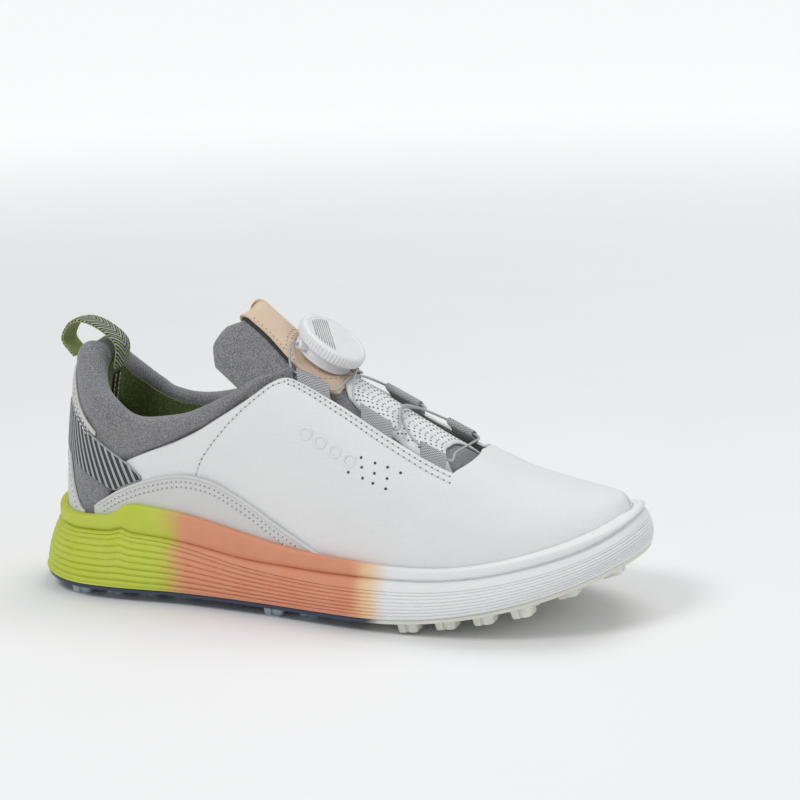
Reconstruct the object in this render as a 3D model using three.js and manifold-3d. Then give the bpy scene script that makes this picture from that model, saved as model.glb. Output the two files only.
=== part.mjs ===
// Golf shoe for the right foot, built up as the real one is: a rubber outsole with lugs, a foam
// midsole cup, the board and footbed inside it, the leather and textile upper in layers around
// the foot, a padded collar and tongue, and a dial that winds one lace through six guides.
//
// Millimetres. +X points to the toe, +Z up, and the outer (lateral) side of the shoe faces -Y.
// The origin is on the ground, under the middle of the shoe's box.

import * as THREE from 'three';
import { mergeVertices } from 'three/addons/utils/BufferGeometryUtils.js';
import Module from 'manifold-3d';

const wasm = await Module();
wasm.setup();

// ---------------------------------------------------------------- driving dimensions

const LAST_LENGTH = 257;        // foot form, heel to toe, at the edge of the sole cup
const LAST_WIDTH = 86;          // foot form, across the ball of the foot
const UPPER_HEIGHT = 64;        // from the sole's edge to the collar at the heel

const LUG_HEIGHT = 4.2;
const LUG_SIZE = 9;
const LUG_PITCH = 15.5;
const OUTSOLE_THICKNESS = 2;
const TOE_SPRING = 25;          // rise of the sole at the tip of the toe
const HEEL_RISE = 3;
const SOLE_FLARE = 8;           // how far the foam stands out past the foot form at the ground
const HEEL_FLARE = 6;           // what the heel adds to that
const BAND_FLARE = 4.2;         // how far the top band of the foam stands out
const HEEL_BAND_FLARE = 4;      // what the heel adds to that
const CUP_DEPTH = 13;           // from the rim down to the bed that the upper stands on
const GROOVE_DEPTH = 1.2;
const BAND_HEIGHT = 8;

const LEATHER = 1.4;
const OVERLAY_LEATHER = 1.2;
const STIFFENER = 1.0;
const LINING = 1.2;
const BOARD = 1.2;
const FOOTBED = 3.6;
const SHANK_WIDTH = 20;
const SHANK_THICKNESS = 1.4;
const SHANK_SPAN = [6, 13];     // first and last of the sole's ribs that it crosses
const COLLAR_HEEL = 13;         // padding at the back of the heel
const COLLAR_SIDE = 8;          // padding beside the ankle
const COLLAR_FRONT = 4.4;       // where the collar ends against the tongue
const EAR_HEIGHT = 3;
const TONGUE = 6;
const TONGUE_EDGE = 2.2;
const STRAP = 1.4;
const WEBBING = 1.3;
const LOOP_WIDTH = 12;
const LACE = 1.1;               // diameter
const GUIDE_WIDTH = 4.6;
const GUIDE_WALL = 0.6;

const DIAL_RADIUS = 15.8;
const DIAL_BASE_HEIGHT = 5.2;
const DIAL_HEIGHT = 10.4;
const DIAL_CUP_WALL = 1.8;
const DIAL_FLANGE_RADIUS = 13;
const DIAL_FLANGE = 1.4;
const PORT_RADIUS = 1.9;        // outside of the ports that the lace runs out of
const PORT_HEIGHT = 3;
const SPOOL_RADIUS = 9.6;
const SPOOL_HEIGHT = 3.5;
const DRIVE_DISC = 1.4;
const SCREW_RADIUS = 1.4;
const SCREW_HEAD_RADIUS = 3;
const SCREW_HEAD = 0.8;

const GAP = 0.3;                // clearance between neighbouring pieces
const U_STEP = 0.25;            // spacing of the ribs that every layer shares

// ---------------------------------------------------------------- the foot form

// Ribs of the foot form, from the heel along the lateral side to the toe and back along the
// medial side. Each has the plan point of the base, the height of the sole's edge there, the
// top point on the collar or on the ridge of the forefoot, and how round the wall between is.
const FORM_RIBS = [
  [-123, 0, 41, -113, 0, 105, 0.3],
  [-119, -17, 39, -110, -14, 104, 0.3],
  [-106, -28, 38, -98, -25, 90, 0.3],
  [-80, -31, 42, -80, -28, 77, 0.3],
  [-52, -31, 41, -52, -28, 78, 0.3],
  [-23, -33, 34, -28, -24, 94, 0.45],
  [6, -37, 30, -8, -15, 104, 0.75],
  [36, -41, 28, 16, 1, 97, 1],
  [65, -42, 28, 48, 1.5, 77, 1],
  [93, -38, 33, 80, 5, 61, 1],
  [115, -28, 39, 104, 8, 55, 1],
  [129, -12, 44, 121, 9, 52, 1],
  [134, 8, 47, 128, 10, 51, 1],
  [128, 26, 44, 121, 9, 52, 1],
  [111, 37, 39, 104, 8, 55, 1],
  [89, 42, 33, 80, 5, 61, 1],
  [60, 43, 28, 48, 1.5, 77, 1],
  [30, 38, 28, 16, 1, 97, 1],
  [0, 33, 31, -8, 15, 104, 0.75],
  [-28, 29, 36, -28, 24, 94, 0.45],
  [-54, 29, 41, -52, 28, 78, 0.3],
  [-82, 30, 42, -80, 28, 77, 0.3],
  [-107, 28, 38, -98, 25, 90, 0.3],
  [-119, 17, 39, -110, 14, 104, 0.3],
];
const RIBS = FORM_RIBS.length;
const TOE = RIBS / 2;           // rib number at the tip of the toe; 0 is the heel
const FORM = { length: 257, width: 86, height: 64 };   // the size that the ribs are drawn at
const LONG = LAST_LENGTH / FORM.length;
const WIDE = LAST_WIDTH / FORM.width;
const TALL = UPPER_HEIGHT / FORM.height;
const TUCK = 10;                // how far the upper reaches down inside the cup

function fitRib([bx, by, edge, tx, ty, tz, round]) {
  return [bx * LONG, by * WIDE, edge, tx * LONG, ty * WIDE, edge + (tz - edge) * TALL, round];
}

const FITTED = FORM_RIBS.map(fitRib);

const clamp = (value, low, high) => Math.min(Math.max(value, low), high);
const mix = (a, b, f) => a + (b - a) * f;

function smooth(value, low, high) {
  const f = clamp((value - low) / (high - low), 0, 1);
  return f * f * (3 - 2 * f);
}

function splineWeights(f) {
  return [(1 - f) ** 3 / 6, (3 * f ** 3 - 6 * f ** 2 + 4) / 6,
    (-3 * f ** 3 + 3 * f ** 2 + 3 * f + 1) / 6, f ** 3 / 6];
}

// The form's values at rib number u, which may be any number, on a smooth closed curve.
function rib(u) {
  const whole = Math.floor(u);
  const weights = splineWeights(u - whole);
  const out = new Array(7).fill(0);
  weights.forEach((weight, k) => {
    const row = FITTED[(((whole + k - 1) % RIBS) + RIBS) % RIBS];
    row.forEach((value, n) => { out[n] += weight * value; });
  });
  return out;
}

// Distance from the heel in rib numbers, whichever side u is on.
const fromHeel = (u) => {
  const wrapped = ((u % RIBS) + RIBS) % RIBS;
  return Math.min(wrapped, RIBS - wrapped);
};

const ear = (u) => EAR_HEIGHT * Math.exp(-(((fromHeel(u) - 0.8) / 0.45) ** 2));

// A point of the form: t = 0 is inside the cup, t = 1 the collar or the ridge.
function formPoint(u, t) {
  const [bx, by, edge, tx, ty, tz, round] = rib(u);
  const turn = t * Math.PI / 2;
  const inward = round * (1 - Math.cos(turn))
    + (1 - round) * (0.9 * Math.sign(t) * Math.abs(t) ** 1.6 + 0.1 * t);
  const upward = round * Math.sin(turn) + (1 - round) * t;
  const low = edge - TUCK;
  return new THREE.Vector3(mix(bx, tx, inward), mix(by, ty, inward),
    mix(low, tz + ear(u), upward));
}

function surfaceNormal(point, u, t, uSample = u, tSample = t) {
  const step = 0.01;
  const along = point(uSample + step, tSample).sub(point(uSample - step, tSample));
  const up = point(u, t + step / 2).sub(point(u, t - step / 2));
  return along.cross(up).normalize();
}

const RIDGE_SAMPLE = 0.97;      // near the ridge the ribs meet, so the lengthwise slope is read here
const RIDGE_RIBS = 8;           // from this rib to the toe the two sides share the ridge
const BLEND_FROM = 0.8;         // and there their slopes blend from this t on

function wall(u, t, out) {
  const top = Math.min(t, 1 - 0.006);
  const normal = surfaceNormal(formPoint, u, top, u, Math.min(t, RIDGE_SAMPLE));
  if (fromHeel(u) > RIDGE_RIBS) {
    const other = surfaceNormal(formPoint, -u, top, -u, Math.min(t, RIDGE_SAMPLE));
    normal.lerp(other, 0.5 * smooth(t, BLEND_FROM, 1)).normalize();
  }
  return formPoint(u, t).addScaledVector(normal, out);
}

// Across the forefoot s runs from 0 over the ridge at 1 to 2 on the medial side.
const across = (u, s, out) => (s <= 1 ? wall(u, s, out) : wall(-u, 2 - s, out));

// Plan point of the base, pushed outward in plan.
function planPoint(u, out) {
  const step = 0.01;
  const [ax, ay] = rib(u - step);
  const [bx, by] = rib(u + step);
  const [x, y] = rib(u);
  const length = Math.hypot(bx - ax, by - ay);
  return [x + (by - ay) / length * out, y - (bx - ax) / length * out];
}

const cupEdge = (u) => rib(u)[2];

// A smooth line through chosen points [u, value], flat beyond its ends.
function lineThrough(points) {
  return (u) => {
    if (u <= points[0][0]) return points[0][1];
    const last = points.length - 1;
    if (u >= points[last][0]) return points[last][1];
    const k = points.findIndex((p) => u < p[0]) - 1;
    const [u0, a] = points[k];
    const [u1, b] = points[k + 1];
    const slopeBefore = k > 0 ? (b - points[k - 1][1]) / (u1 - points[k - 1][0]) : (b - a) / (u1 - u0);
    const slopeAfter = k + 2 <= last ? (points[k + 2][1] - a) / (points[k + 2][0] - u0)
      : (b - a) / (u1 - u0);
    const f = (u - u0) / (u1 - u0);
    const w = u1 - u0;
    return a * (2 * f ** 3 - 3 * f ** 2 + 1) + slopeBefore * w * (f ** 3 - 2 * f ** 2 + f)
      + b * (3 * f ** 2 - 2 * f ** 3) + slopeAfter * w * (f ** 3 - f ** 2);
  };
}

// Edges of the upper's pieces, as t against rib number from the heel.
const QUARTER_REAR = 2.75;
const THROAT = 8.25;
const COLLAR_END = 5.75;
const quarterTop = lineThrough([[2.75, 0.46], [2.95, 0.55], [3.62, 0.73], [4.4, 0.84], [5.18, 0.885],
  [5.6, 0.925], [5.85, 0.92], [6.1, 0.84], [6.5, 0.73], [7.08, 0.64], [7.7, 0.61], [8.25, 0.61],
  [10, 0.62], [12, 0.62]]);
const foxingTop = lineThrough([[2, 0.1], [2.4, 0.18], [2.85, 0.3], [3.3, 0.4], [3.85, 0.46],
  [4.35, 0.41], [4.85, 0.3], [5.5, 0.17], [6.25, 0.07]]);
const strapTop = lineThrough([[0, 0.62], [1, 0.64], [1.7, 0.64], [2.45, 0.6], [2.95, 0.52],
  [3.25, 0.43]]);
const strapLow = lineThrough([[0, 0.38], [0.9, 0.38], [1.6, 0.37], [2.25, 0.33], [2.7, 0.28],
  [3.1, 0.28]]);
const tabTop = lineThrough([[0, 0.86], [0.5, 0.84], [1, 0.79], [1.6, 0.72], [2.25, 0.66]]);
const EDGE_GAP = 0.015;         // clearance in t between pieces that lie edge to edge

// ---------------------------------------------------------------- solids

// Collects faces by their corners and welds them into one closed mesh.
class Skin {
  constructor() { this.corners = []; }

  face(a, b, c) { this.corners.push(a, b, c); }

  quad(a, b, c, d) {
    this.face(a, b, c);
    this.face(a, c, d);
  }

  geometry() {
    const raw = new THREE.BufferGeometry().setFromPoints(this.corners);
    raw.setIndex([...this.corners.keys()]);
    return dropFlatFaces(mergeVertices(raw, 1e-4));
  }
}

function dropFlatFaces(geometry) {
  const index = geometry.getIndex().array;
  const kept = [];
  for (let i = 0; i < index.length; i += 3) {
    const [a, b, c] = [index[i], index[i + 1], index[i + 2]];
    if (a !== b && b !== c && c !== a) kept.push(a, b, c);
  }
  geometry.setIndex(kept);
  return geometry;
}

// A sheet of material: its two faces over the grid cells that keep() accepts, closed by walls
// along every free edge. Ribs that fall on each other, as at the toe, join without a wall.
function sheet(rows, columns, outer, inner, keep = () => true) {
  const skin = new Skin();
  const key = (p) => `${p.x.toFixed(3)},${p.y.toFixed(3)},${p.z.toFixed(3)}`;
  const face = (at) => Array.from({ length: rows + 1 }, (_, i) =>
    Array.from({ length: columns + 1 }, (_unused, j) => at(i, j)));
  const out = face(outer);
  const back = face(inner);
  const edges = new Map();
  const border = (a, b) => {
    const [from, to] = [key(out[a[0]][a[1]]), key(out[b[0]][b[1]])];
    if (from === to) return;
    if (edges.has(`${to}|${from}`)) edges.delete(`${to}|${from}`);
    else edges.set(`${from}|${to}`, [a, b]);
  };
  for (let i = 0; i < rows; i += 1) {
    for (let j = 0; j < columns; j += 1) {
      if (keep(i, j)) {
        const cell = [[i, j], [i + 1, j], [i + 1, j + 1], [i, j + 1]];
        skin.quad(...cell.map(([r, c]) => out[r][c]));
        skin.quad(...cell.map(([r, c]) => back[r][c]).reverse());
        cell.forEach((corner, n) => border(corner, cell[(n + 1) % 4]));
      }
    }
  }
  edges.forEach(([a, b]) => {
    const [aOut, bOut] = [out[a[0]][a[1]], out[b[0]][b[1]]];
    const [aBack, bBack] = [back[a[0]][a[1]], back[b[0]][b[1]]];
    skin.face(bOut, aOut, aBack);
    skin.face(bOut, aBack, bBack);
  });
  return skin.geometry();
}

// A body through loops of points, with flat ends.
function loft(loops) {
  const skin = new Skin();
  const middle = (loop) => loop.reduce((sum, p) => sum.add(p), new THREE.Vector3())
    .divideScalar(loop.length);
  for (let i = 0; i + 1 < loops.length; i += 1) {
    loops[i].forEach((p, j) => {
      const next = (j + 1) % loops[i].length;
      skin.quad(p, loops[i + 1][j], loops[i + 1][next], loops[i][next]);
    });
  }
  const [first, last] = [loops[0], loops[loops.length - 1]];
  const [start, end] = [middle(first), middle(last)];
  first.forEach((p, j) => skin.face(start, p, first[(j + 1) % first.length]));
  last.forEach((p, j) => skin.face(end, last[(j + 1) % last.length], p));
  return skin.geometry();
}

// A body like a tray or a plate, from a profile of points at each rib. Its first point is on the
// edge of the underside and its last on the edge of the floor on top.
const SOLE_RIBS = 60;
const SOLE_COLUMNS = 4;

function tray(profile) {
  const skin = new Skin();
  const rings = Array.from({ length: SOLE_RIBS }, (_, i) => profile(i * RIBS / SOLE_RIBS));
  const at = (i) => rings[i % SOLE_RIBS];
  for (let i = 0; i < SOLE_RIBS; i += 1) {
    for (let j = 0; j + 1 < rings[0].length; j += 1) {
      skin.quad(at(i)[j], at(i + 1)[j], at(i + 1)[j + 1], at(i)[j + 1]);
    }
  }
  const cap = (j, flip) => {
    const point = (k, c) => at(k)[j].clone().lerp(at(SOLE_RIBS - k)[j], c / SOLE_COLUMNS);
    for (let k = 0; k < SOLE_RIBS / 2; k += 1) {
      for (let c = 0; c < SOLE_COLUMNS; c += 1) {
        const cell = [point(k, c), point(k + 1, c), point(k + 1, c + 1), point(k, c + 1)];
        skin.quad(...(flip ? cell.reverse() : cell));
      }
    }
  };
  cap(rings[0].length - 1, false);
  cap(0, true);
  return skin.geometry();
}

function toManifold(geometry) {
  const bare = geometry.clone();
  bare.deleteAttribute('normal');
  bare.deleteAttribute('uv');
  const welded = dropFlatFaces(mergeVertices(bare, 1e-4));
  return new wasm.Manifold(new wasm.Mesh({
    numProp: 3,
    vertProperties: new Float32Array(welded.getAttribute('position').array),
    triVerts: new Uint32Array(welded.getIndex().array),
  }));
}

function fromManifold(solid) {
  const mesh = solid.getMesh();
  const geometry = new THREE.BufferGeometry();
  geometry.setAttribute('position', new THREE.BufferAttribute(mesh.vertProperties, 3));
  geometry.setIndex(new THREE.BufferAttribute(mesh.triVerts, 1));
  return geometry;
}

function placed(geometry, { at = [0, 0, 0], turn = [0, 0, 0] }) {
  const matrix = new THREE.Matrix4().makeRotationFromEuler(new THREE.Euler(...turn));
  matrix.setPosition(...at);
  return geometry.clone().applyMatrix4(matrix);
}

const shoe = new THREE.Group();

function add(name, geometry, color, roughness, parent = shoe) {
  const material = new THREE.MeshStandardMaterial({ color, roughness, metalness: 0 });
  const mesh = new THREE.Mesh(geometry, material);
  mesh.name = name;
  parent.add(mesh);
  return mesh;
}

// ---------------------------------------------------------------- outsole

const heelShare = (u) => clamp((-60 * LONG - rib(u)[0]) / 64, 0, 1);
const flareAt = (u) => SOLE_FLARE + HEEL_FLARE * heelShare(u);

// Height of the foam's underside: level in the middle, rising to the toe and a little at the heel.
function foamBottom(x) {
  const toe = Math.max((x / LONG - 25) / 115, 0);
  const heel = Math.max((-100 - x / LONG) / 38, 0);
  return LUG_HEIGHT + OUTSOLE_THICKNESS + GAP + TOE_SPRING * toe ** 2 + HEEL_RISE * heel ** 2;
}

const OUTSOLE_INSET = 1.6;      // the outsole's edge lies in from the foam's edge
const plateEdge = (u, below) => {
  const [x, y] = planPoint(u, flareAt(u) - OUTSOLE_INSET);
  return new THREE.Vector3(x, y, foamBottom(x) - GAP - below);
};

const plate = tray((u) => [plateEdge(u, OUTSOLE_THICKNESS), plateEdge(u, 0)]);

const LUG_INSET = 0.68;         // half of a turned lug's width across, as a share of its size
const lugOutline = Array.from({ length: SOLE_RIBS }, (_, i) => {
  const u = i * RIBS / SOLE_RIBS;
  return planPoint(u, flareAt(u) - OUTSOLE_INSET - LUG_SIZE * LUG_INSET);
});

function insideOutline(x, y) {
  let inside = false;
  lugOutline.forEach(([ax, ay], i) => {
    const [bx, by] = lugOutline[(i + 1) % lugOutline.length];
    if ((ay > y) !== (by > y) && x < ax + (y - ay) / (by - ay) * (bx - ax)) inside = !inside;
  });
  return inside;
}

const LUG_GRID_TURN = 0.12;

// Lug centres on a square grid that is turned a little against the shoe's length.
function lugPlaces() {
  const turn = LUG_GRID_TURN;
  const reach = Math.ceil(LAST_LENGTH / LUG_PITCH);
  const places = [];
  for (let i = -reach; i <= reach; i += 1) {
    for (let j = -reach; j <= reach; j += 1) {
      const x = LUG_PITCH * (i * Math.cos(turn) - j * Math.sin(turn));
      const y = LUG_PITCH * (i * Math.sin(turn) + j * Math.cos(turn));
      if (insideOutline(x, y)) places.push([x, y]);
    }
  }
  return places;
}

const LUG_ROOT = 1;             // how far a lug's block is sunk into the plate
const lugBlock = new THREE.BoxGeometry(LUG_SIZE, LUG_SIZE, LUG_HEIGHT + LUG_ROOT);
let outsole = toManifold(plate);
for (const [x, y] of lugPlaces()) {
  const slope = (foamBottom(x + 1) - foamBottom(x - 1)) / 2;
  const middle = foamBottom(x) - GAP - OUTSOLE_THICKNESS + (LUG_ROOT - LUG_HEIGHT) / 2;
  const block = placed(lugBlock, { at: [x, y, middle], turn: [0, -Math.atan(slope), 0] });
  outsole = outsole.add(toManifold(block));
}
add('outsole', fromManifold(outsole), 0x27344f, 0.6);

// ---------------------------------------------------------------- midsole, board and footbed

const bedHeight = (u) => cupEdge(u) - CUP_DEPTH;
const BED_CLEARANCE = 2.1;      // inner face of the cup, outside the upper's outermost layer

function midsoleProfile(u) {
  const edge = cupEdge(u);
  const [baseX] = planPoint(u, flareAt(u));
  const bottom = foamBottom(baseX);
  const flare = flareAt(u);
  const band = BAND_FLARE + HEEL_BAND_FLARE * heelShare(u);
  const at = (out, z) => new THREE.Vector3(...planPoint(u, out), z);
  const foot = (out) => {
    const [x, y] = planPoint(u, out);
    return new THREE.Vector3(x, y, foamBottom(x));
  };
  const grooveHeight = edge - BAND_HEIGHT;
  return [
    foot(flare - 1),
    at(flare, bottom + 2),
    at(mix(flare, band, 0.35), mix(bottom, grooveHeight, 0.55)),
    at(mix(flare, band, 0.9), grooveHeight - 1),
    at(band - GROOVE_DEPTH, grooveHeight),
    at(band, grooveHeight + 1.5),
    at(band, edge - 1.2),
    at(band - 0.8, edge),
    at(BED_CLEARANCE, edge),
    at(BED_CLEARANCE, bedHeight(u)),
  ];
}

const floorPlate = (out, low, high) => tray((u) => {
  const [x, y] = planPoint(u, out);
  return [new THREE.Vector3(x, y, bedHeight(u) + low), new THREE.Vector3(x, y, bedHeight(u) + high)];
});

const BOARD_INSET = -5;
// The shank lies in a pocket in the bed, and follows the bed's slope under the arch of the foot.
function archPlate(margin, low, high) {
  const step = RIBS / SOLE_RIBS;
  const rows = SHANK_SPAN[1] - SHANK_SPAN[0];
  const point = (i, j, z) => {
    const u = (SHANK_SPAN[0] + i) * step;
    const lateral = new THREE.Vector3(...planPoint(u, BED_CLEARANCE), bedHeight(u));
    const medial = new THREE.Vector3(...planPoint(-u, BED_CLEARANCE), bedHeight(-u));
    const half = (SHANK_WIDTH / 2 + margin) / lateral.distanceTo(medial);
    const place = lateral.lerp(medial, mix(0.5 - half, 0.5 + half, j));
    const end = i === 0 ? -margin : (i === rows ? margin : 0);
    return place.add(new THREE.Vector3(end, 0, z));
  };
  return sheet(rows, 1, (i, j) => point(i, j, high), (i, j) => point(i, j, low));
}

const POCKET_DEPTH = SHANK_THICKNESS + 3 * GAP;
let midsole = toManifold(tray(midsoleProfile));
midsole = midsole.subtract(toManifold(archPlate(GAP, -POCKET_DEPTH, 4)));
add('midsole', fromManifold(midsole), 0xe39a76, 0.75);
add('shank', archPlate(0, GAP - POCKET_DEPTH, GAP - POCKET_DEPTH + SHANK_THICKNESS), 0x2a2a2c, 0.5);
add('lasting_board', floorPlate(BOARD_INSET, GAP, GAP + BOARD), 0xd9d4c4, 0.9);
add('insole', floorPlate(BOARD_INSET - 2 * GAP, 2 * GAP + BOARD, 2 * GAP + BOARD + FOOTBED), 0xb7c83a, 0.9);

// ---------------------------------------------------------------- leather upper

const MIDDLE_COLUMNS = 5;
const SEAM = 0.08;              // strip along the edge that lies over the collar or lining
const evenPlaces = (edge) => [0, (edge - SEAM) * 0.4, (edge - SEAM) * 0.75, edge - SEAM, edge];

// Place across the upper of grid column j, from the places up one side to the piece's edge.
function columnPlace(j, places) {
  const side = places.length - 1;
  const edge = places[side];
  if (j <= side) return places[j];
  if (j >= side + MIDDLE_COLUMNS) return 2 - places[2 * side + MIDDLE_COLUMNS - j];
  return mix(edge, 2 - edge, (j - side) / MIDDLE_COLUMNS);
}

// Over the forefoot the throat's end bows forward in the middle.
const THROAT_BOW = 0.4;
function bowed(u, s, edge) {
  const middle = 1 - Math.min(Math.abs(s - 1) / (1 - edge), 1) ** 2;
  return u + THROAT_BOW * middle * smooth(u, THROAT - 3, THROAT) * (1 - smooth(u, THROAT, TOE - 0.5));
}

// A layer of the upper that wraps from one side over the forefoot to the other. The cells behind
// the throat and between its edges are left open.
function bodyLayer({ rear, placesAt, outerAt, thickness, throat = THROAT }) {
  const rows = Math.round((TOE - rear) / U_STEP);
  const side = placesAt(rear).length - 1;
  const point = (i, j, depth) => {
    const u = rear + i * U_STEP;
    const places = placesAt(u);
    const s = columnPlace(j, places);
    return across(bowed(u, s, places[side]), s, outerAt(u, Math.min(s, 2 - s)) - depth);
  };
  const isMiddle = (j) => j >= side && j < side + MIDDLE_COLUMNS;
  const keep = (i, j) => !isMiddle(j) || rear + i * U_STEP >= throat - 0.01;
  const columns = 2 * side + MIDDLE_COLUMNS;
  return sheet(rows, columns, (i, j) => point(i, j, 0), (i, j) => point(i, j, thickness), keep);
}

// A layer that lies on one stretch of the wall, between two lines.
function patch({ from, to, lowAt, highAt, outerAt, thickness, columns = 3 }) {
  const rows = Math.round((to - from) / U_STEP);
  const point = (i, j, depth) => {
    const u = from + i * U_STEP;
    const near = fromHeel(u);
    const t = mix(lowAt(near), highAt(near), j / columns);
    return wall(u, t, outerAt - depth);
  };
  return sheet(rows, columns, (i, j) => point(i, j, 0), (i, j) => point(i, j, thickness));
}

add('vamp', bodyLayer({
  rear: QUARTER_REAR, placesAt: (u) => evenPlaces(quarterTop(u)), outerAt: () => 0,
  thickness: LEATHER,
}), 0xf0f0ee, 0.6);

const overlayOut = GAP + OVERLAY_LEATHER;
const foxing = { lowAt: () => 0.004, highAt: (u) => foxingTop(u), outerAt: overlayOut,
  thickness: OVERLAY_LEATHER };
add('foxing_lateral', patch({ from: 2.25, to: 6.25, ...foxing }), 0xd9d9d6, 0.6);
add('foxing_medial', patch({ from: RIBS - 6.25, to: RIBS - 2.25, ...foxing }), 0xd9d9d6, 0.6);

add('heel_counter', patch({
  from: -2, to: 2, lowAt: () => 0.004, highAt: (u) => strapLow(u) - EDGE_GAP,
  outerAt: overlayOut, thickness: OVERLAY_LEATHER,
}), 0xc9c9c7, 0.6);

add('heel_strap', patch({
  from: -3.25,
  to: 3.25,
  lowAt: (u) => (u < 2.4 ? strapLow(u) : Math.max(strapLow(u), foxingTop(u) + EDGE_GAP)),
  highAt: strapTop,
  outerAt: GAP + STRAP,
  thickness: STRAP,
}), 0x3a3b40, 0.7);

add('heel_tab', patch({
  from: -2.25, to: 2.25, lowAt: (u) => strapTop(u) + EDGE_GAP, highAt: tabTop,
  outerAt: overlayOut, thickness: OVERLAY_LEATHER,
}), 0xd2d1cd, 0.6);

// ---------------------------------------------------------------- stiffeners, lining and collar

const stiffenerOut = -LEATHER - GAP;
const liningOut = stiffenerOut - STIFFENER - GAP;
const toePuffEdge = () => 0.62;
add('toe_puff', bodyLayer({
  rear: 9.75, placesAt: () => evenPlaces(toePuffEdge()), outerAt: () => stiffenerOut,
  thickness: STIFFENER, throat: 0,
}), 0xcfc8b8, 0.7);

const padThickness = lineThrough([[0, COLLAR_HEEL], [1, COLLAR_HEEL], [2.4, COLLAR_SIDE],
  [4.2, COLLAR_SIDE], [5.75, COLLAR_FRONT]]);
const padFoot = lineThrough([[0, 0.5], [2.5, 0.5], [2.9, 0.5], [3.62, 0.66], [4.4, 0.78],
  [5.18, 0.84], [5.75, 0.9]]);
const HEEL_TEXTILE = 1.4;       // the collar's cloth where it runs down the heel unpadded
const paddedFrom = 2.6;
const thinDepth = (u) => mix(HEEL_TEXTILE, -liningOut - GAP, smooth(u, paddedFrom - 0.2, paddedFrom));
const padDepth = (u, t) => mix(thinDepth(u), padThickness(u), smooth(t, padFoot(u) - 0.1, padFoot(u) + 0.12));

// On a longer last the flats of both pieces bow further apart, so the stiffener gives way there.
const HEEL_EASE = 0.8;          // per length of the last beyond the form's
const heelEase = HEEL_EASE * Math.max(LONG - 1, 0);
add('heel_stiffener', patch({
  from: -2.25, to: 2.25, lowAt: () => 0.03, highAt: () => 0.36, outerAt: stiffenerOut - heelEase,
  thickness: STIFFENER - heelEase,
}), 0xcfc8b8, 0.7);

const collarRadius = (u) => padThickness(u) / 2;
const wallLength = (u) => formPoint(u, 0).distanceTo(formPoint(u, 1));
const rimPlace = (u) => 1 - collarRadius(u) / wallLength(u);

// The collar: a cloth that runs down the heel and swells into padding round the ankle.
const collarFoot = lineThrough([[2.25, 0.03], [3, 0.5], [3.62, 0.66], [4.4, 0.77], [5.18, 0.815],
  [5.75, 0.86]]);
const BULGE = 0.8;
const LIP = 0.01;               // t from the leather's edge to where the padding shows
function collarFace(u, t) {
  if (u < paddedFrom) return 0;
  const aboveLeather = smooth(t, quarterTop(u) + LIP, quarterTop(u) + 4 * LIP);
  return mix(stiffenerOut, BULGE * smooth(u, 3.2, 3.8), aboveLeather);
}

// Places up the wall that the collar and the lining inside it share.
function padPlaces(u) {
  const rim = rimPlace(u);
  if (u < paddedFrom) return [collarFoot(u), 0.37, 0.52, 0.72, rim];
  const lip = Math.min(quarterTop(u) + LIP, rim - 3 * LIP);
  const swell = Math.min(lip + 3 * LIP, rim - LIP);
  return [Math.min(collarFoot(u), lip - 2 * LIP), lip, swell, (swell + rim) / 2, rim];
}

const TOE_EASE = 0.6;           // the lining's extra room inside the toe puff
const STEEP_EASE = 0.7;         // and where the padding's foot climbs off the heel
const NARROW_EASE = 1.2;        // on the sides, per share that the last is narrower
function liningPlaces(u) {
  const beyond = smooth(u, COLLAR_END, COLLAR_END + 0.75);
  const top = quarterTop(u) - 0.03;
  return [0, ...padPlaces(Math.min(u, COLLAR_END)).map((t, k) => mix(t, top * (k + 1) / 5, beyond))];
}

add('bootie_lining', bodyLayer({
  rear: 0,
  placesAt: liningPlaces,
  outerAt: (u, t) => {
    const steep = smooth(u, 2.1, 2.3) * (1 - smooth(u, 3, 3.3));
    const ease = STEEP_EASE * steep + NARROW_EASE * Math.max(1 - WIDE, 0) * smooth(u, 0.5, 1);
    const pad = -padDepth(Math.min(u, COLLAR_END), t) - GAP - ease;
    const rest = liningOut - TOE_EASE * smooth(u, 8.5, 9.5);
    return mix(Math.min(liningOut, pad), rest, smooth(u, COLLAR_END, COLLAR_END + 0.75));
  },
  thickness: LINING,
}), 0x8fa34a, 0.95);

const RIM_STEPS = 4;
function collarLoop(signedU) {
  const u = fromHeel(signedU);
  const places = padPlaces(u);
  const outer = places.map((t) => wall(signedU, t, collarFace(u, t)));
  const inner = places.map((t) => wall(signedU, t, -padDepth(u, t))).reverse();
  const rimOut = outer[outer.length - 1];
  const rimIn = inner[0];
  const centre = rimOut.clone().lerp(rimIn, 0.5);
  const arm = rimOut.clone().sub(centre);
  const up = wall(signedU, 1, 0).sub(wall(signedU, rimPlace(u), 0)).normalize()
    .multiplyScalar(arm.length());
  const rim = Array.from({ length: RIM_STEPS }, (_, k) => {
    const turn = Math.PI * (k + 1) / (RIM_STEPS + 1);
    return centre.clone().addScaledVector(arm, Math.cos(turn)).addScaledVector(up, Math.sin(turn));
  });
  return [...outer, ...rim, ...inner];
}

const collarRows = 2 * COLLAR_END / U_STEP;
const collarLoops = Array.from({ length: collarRows + 1 }, (_, i) =>
  collarLoop(-COLLAR_END + i * U_STEP));
add('collar', loft(collarLoops), 0x8a8a8e, 0.95);

// ---------------------------------------------------------------- tongue

// The tongue's own ribs, numbered as the form's, with the base points on both sides and the top
// point on the middle line. In front they are the form's ribs; behind, it leans back and out.
const TONGUE_REAR_RIBS = {
  3: [[-92, -34, 72], [-92, 32, 72], [-48, 150]],
  4: [[-64, -34, 62], [-64, 32, 62], [-34, 142]],
  5: [[-32, -34, 42], [-32, 31, 42], [-20, 126]],
  6: [[4, -36, 22], [0, 33, 22], [-4, 110.5]],
};

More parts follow.
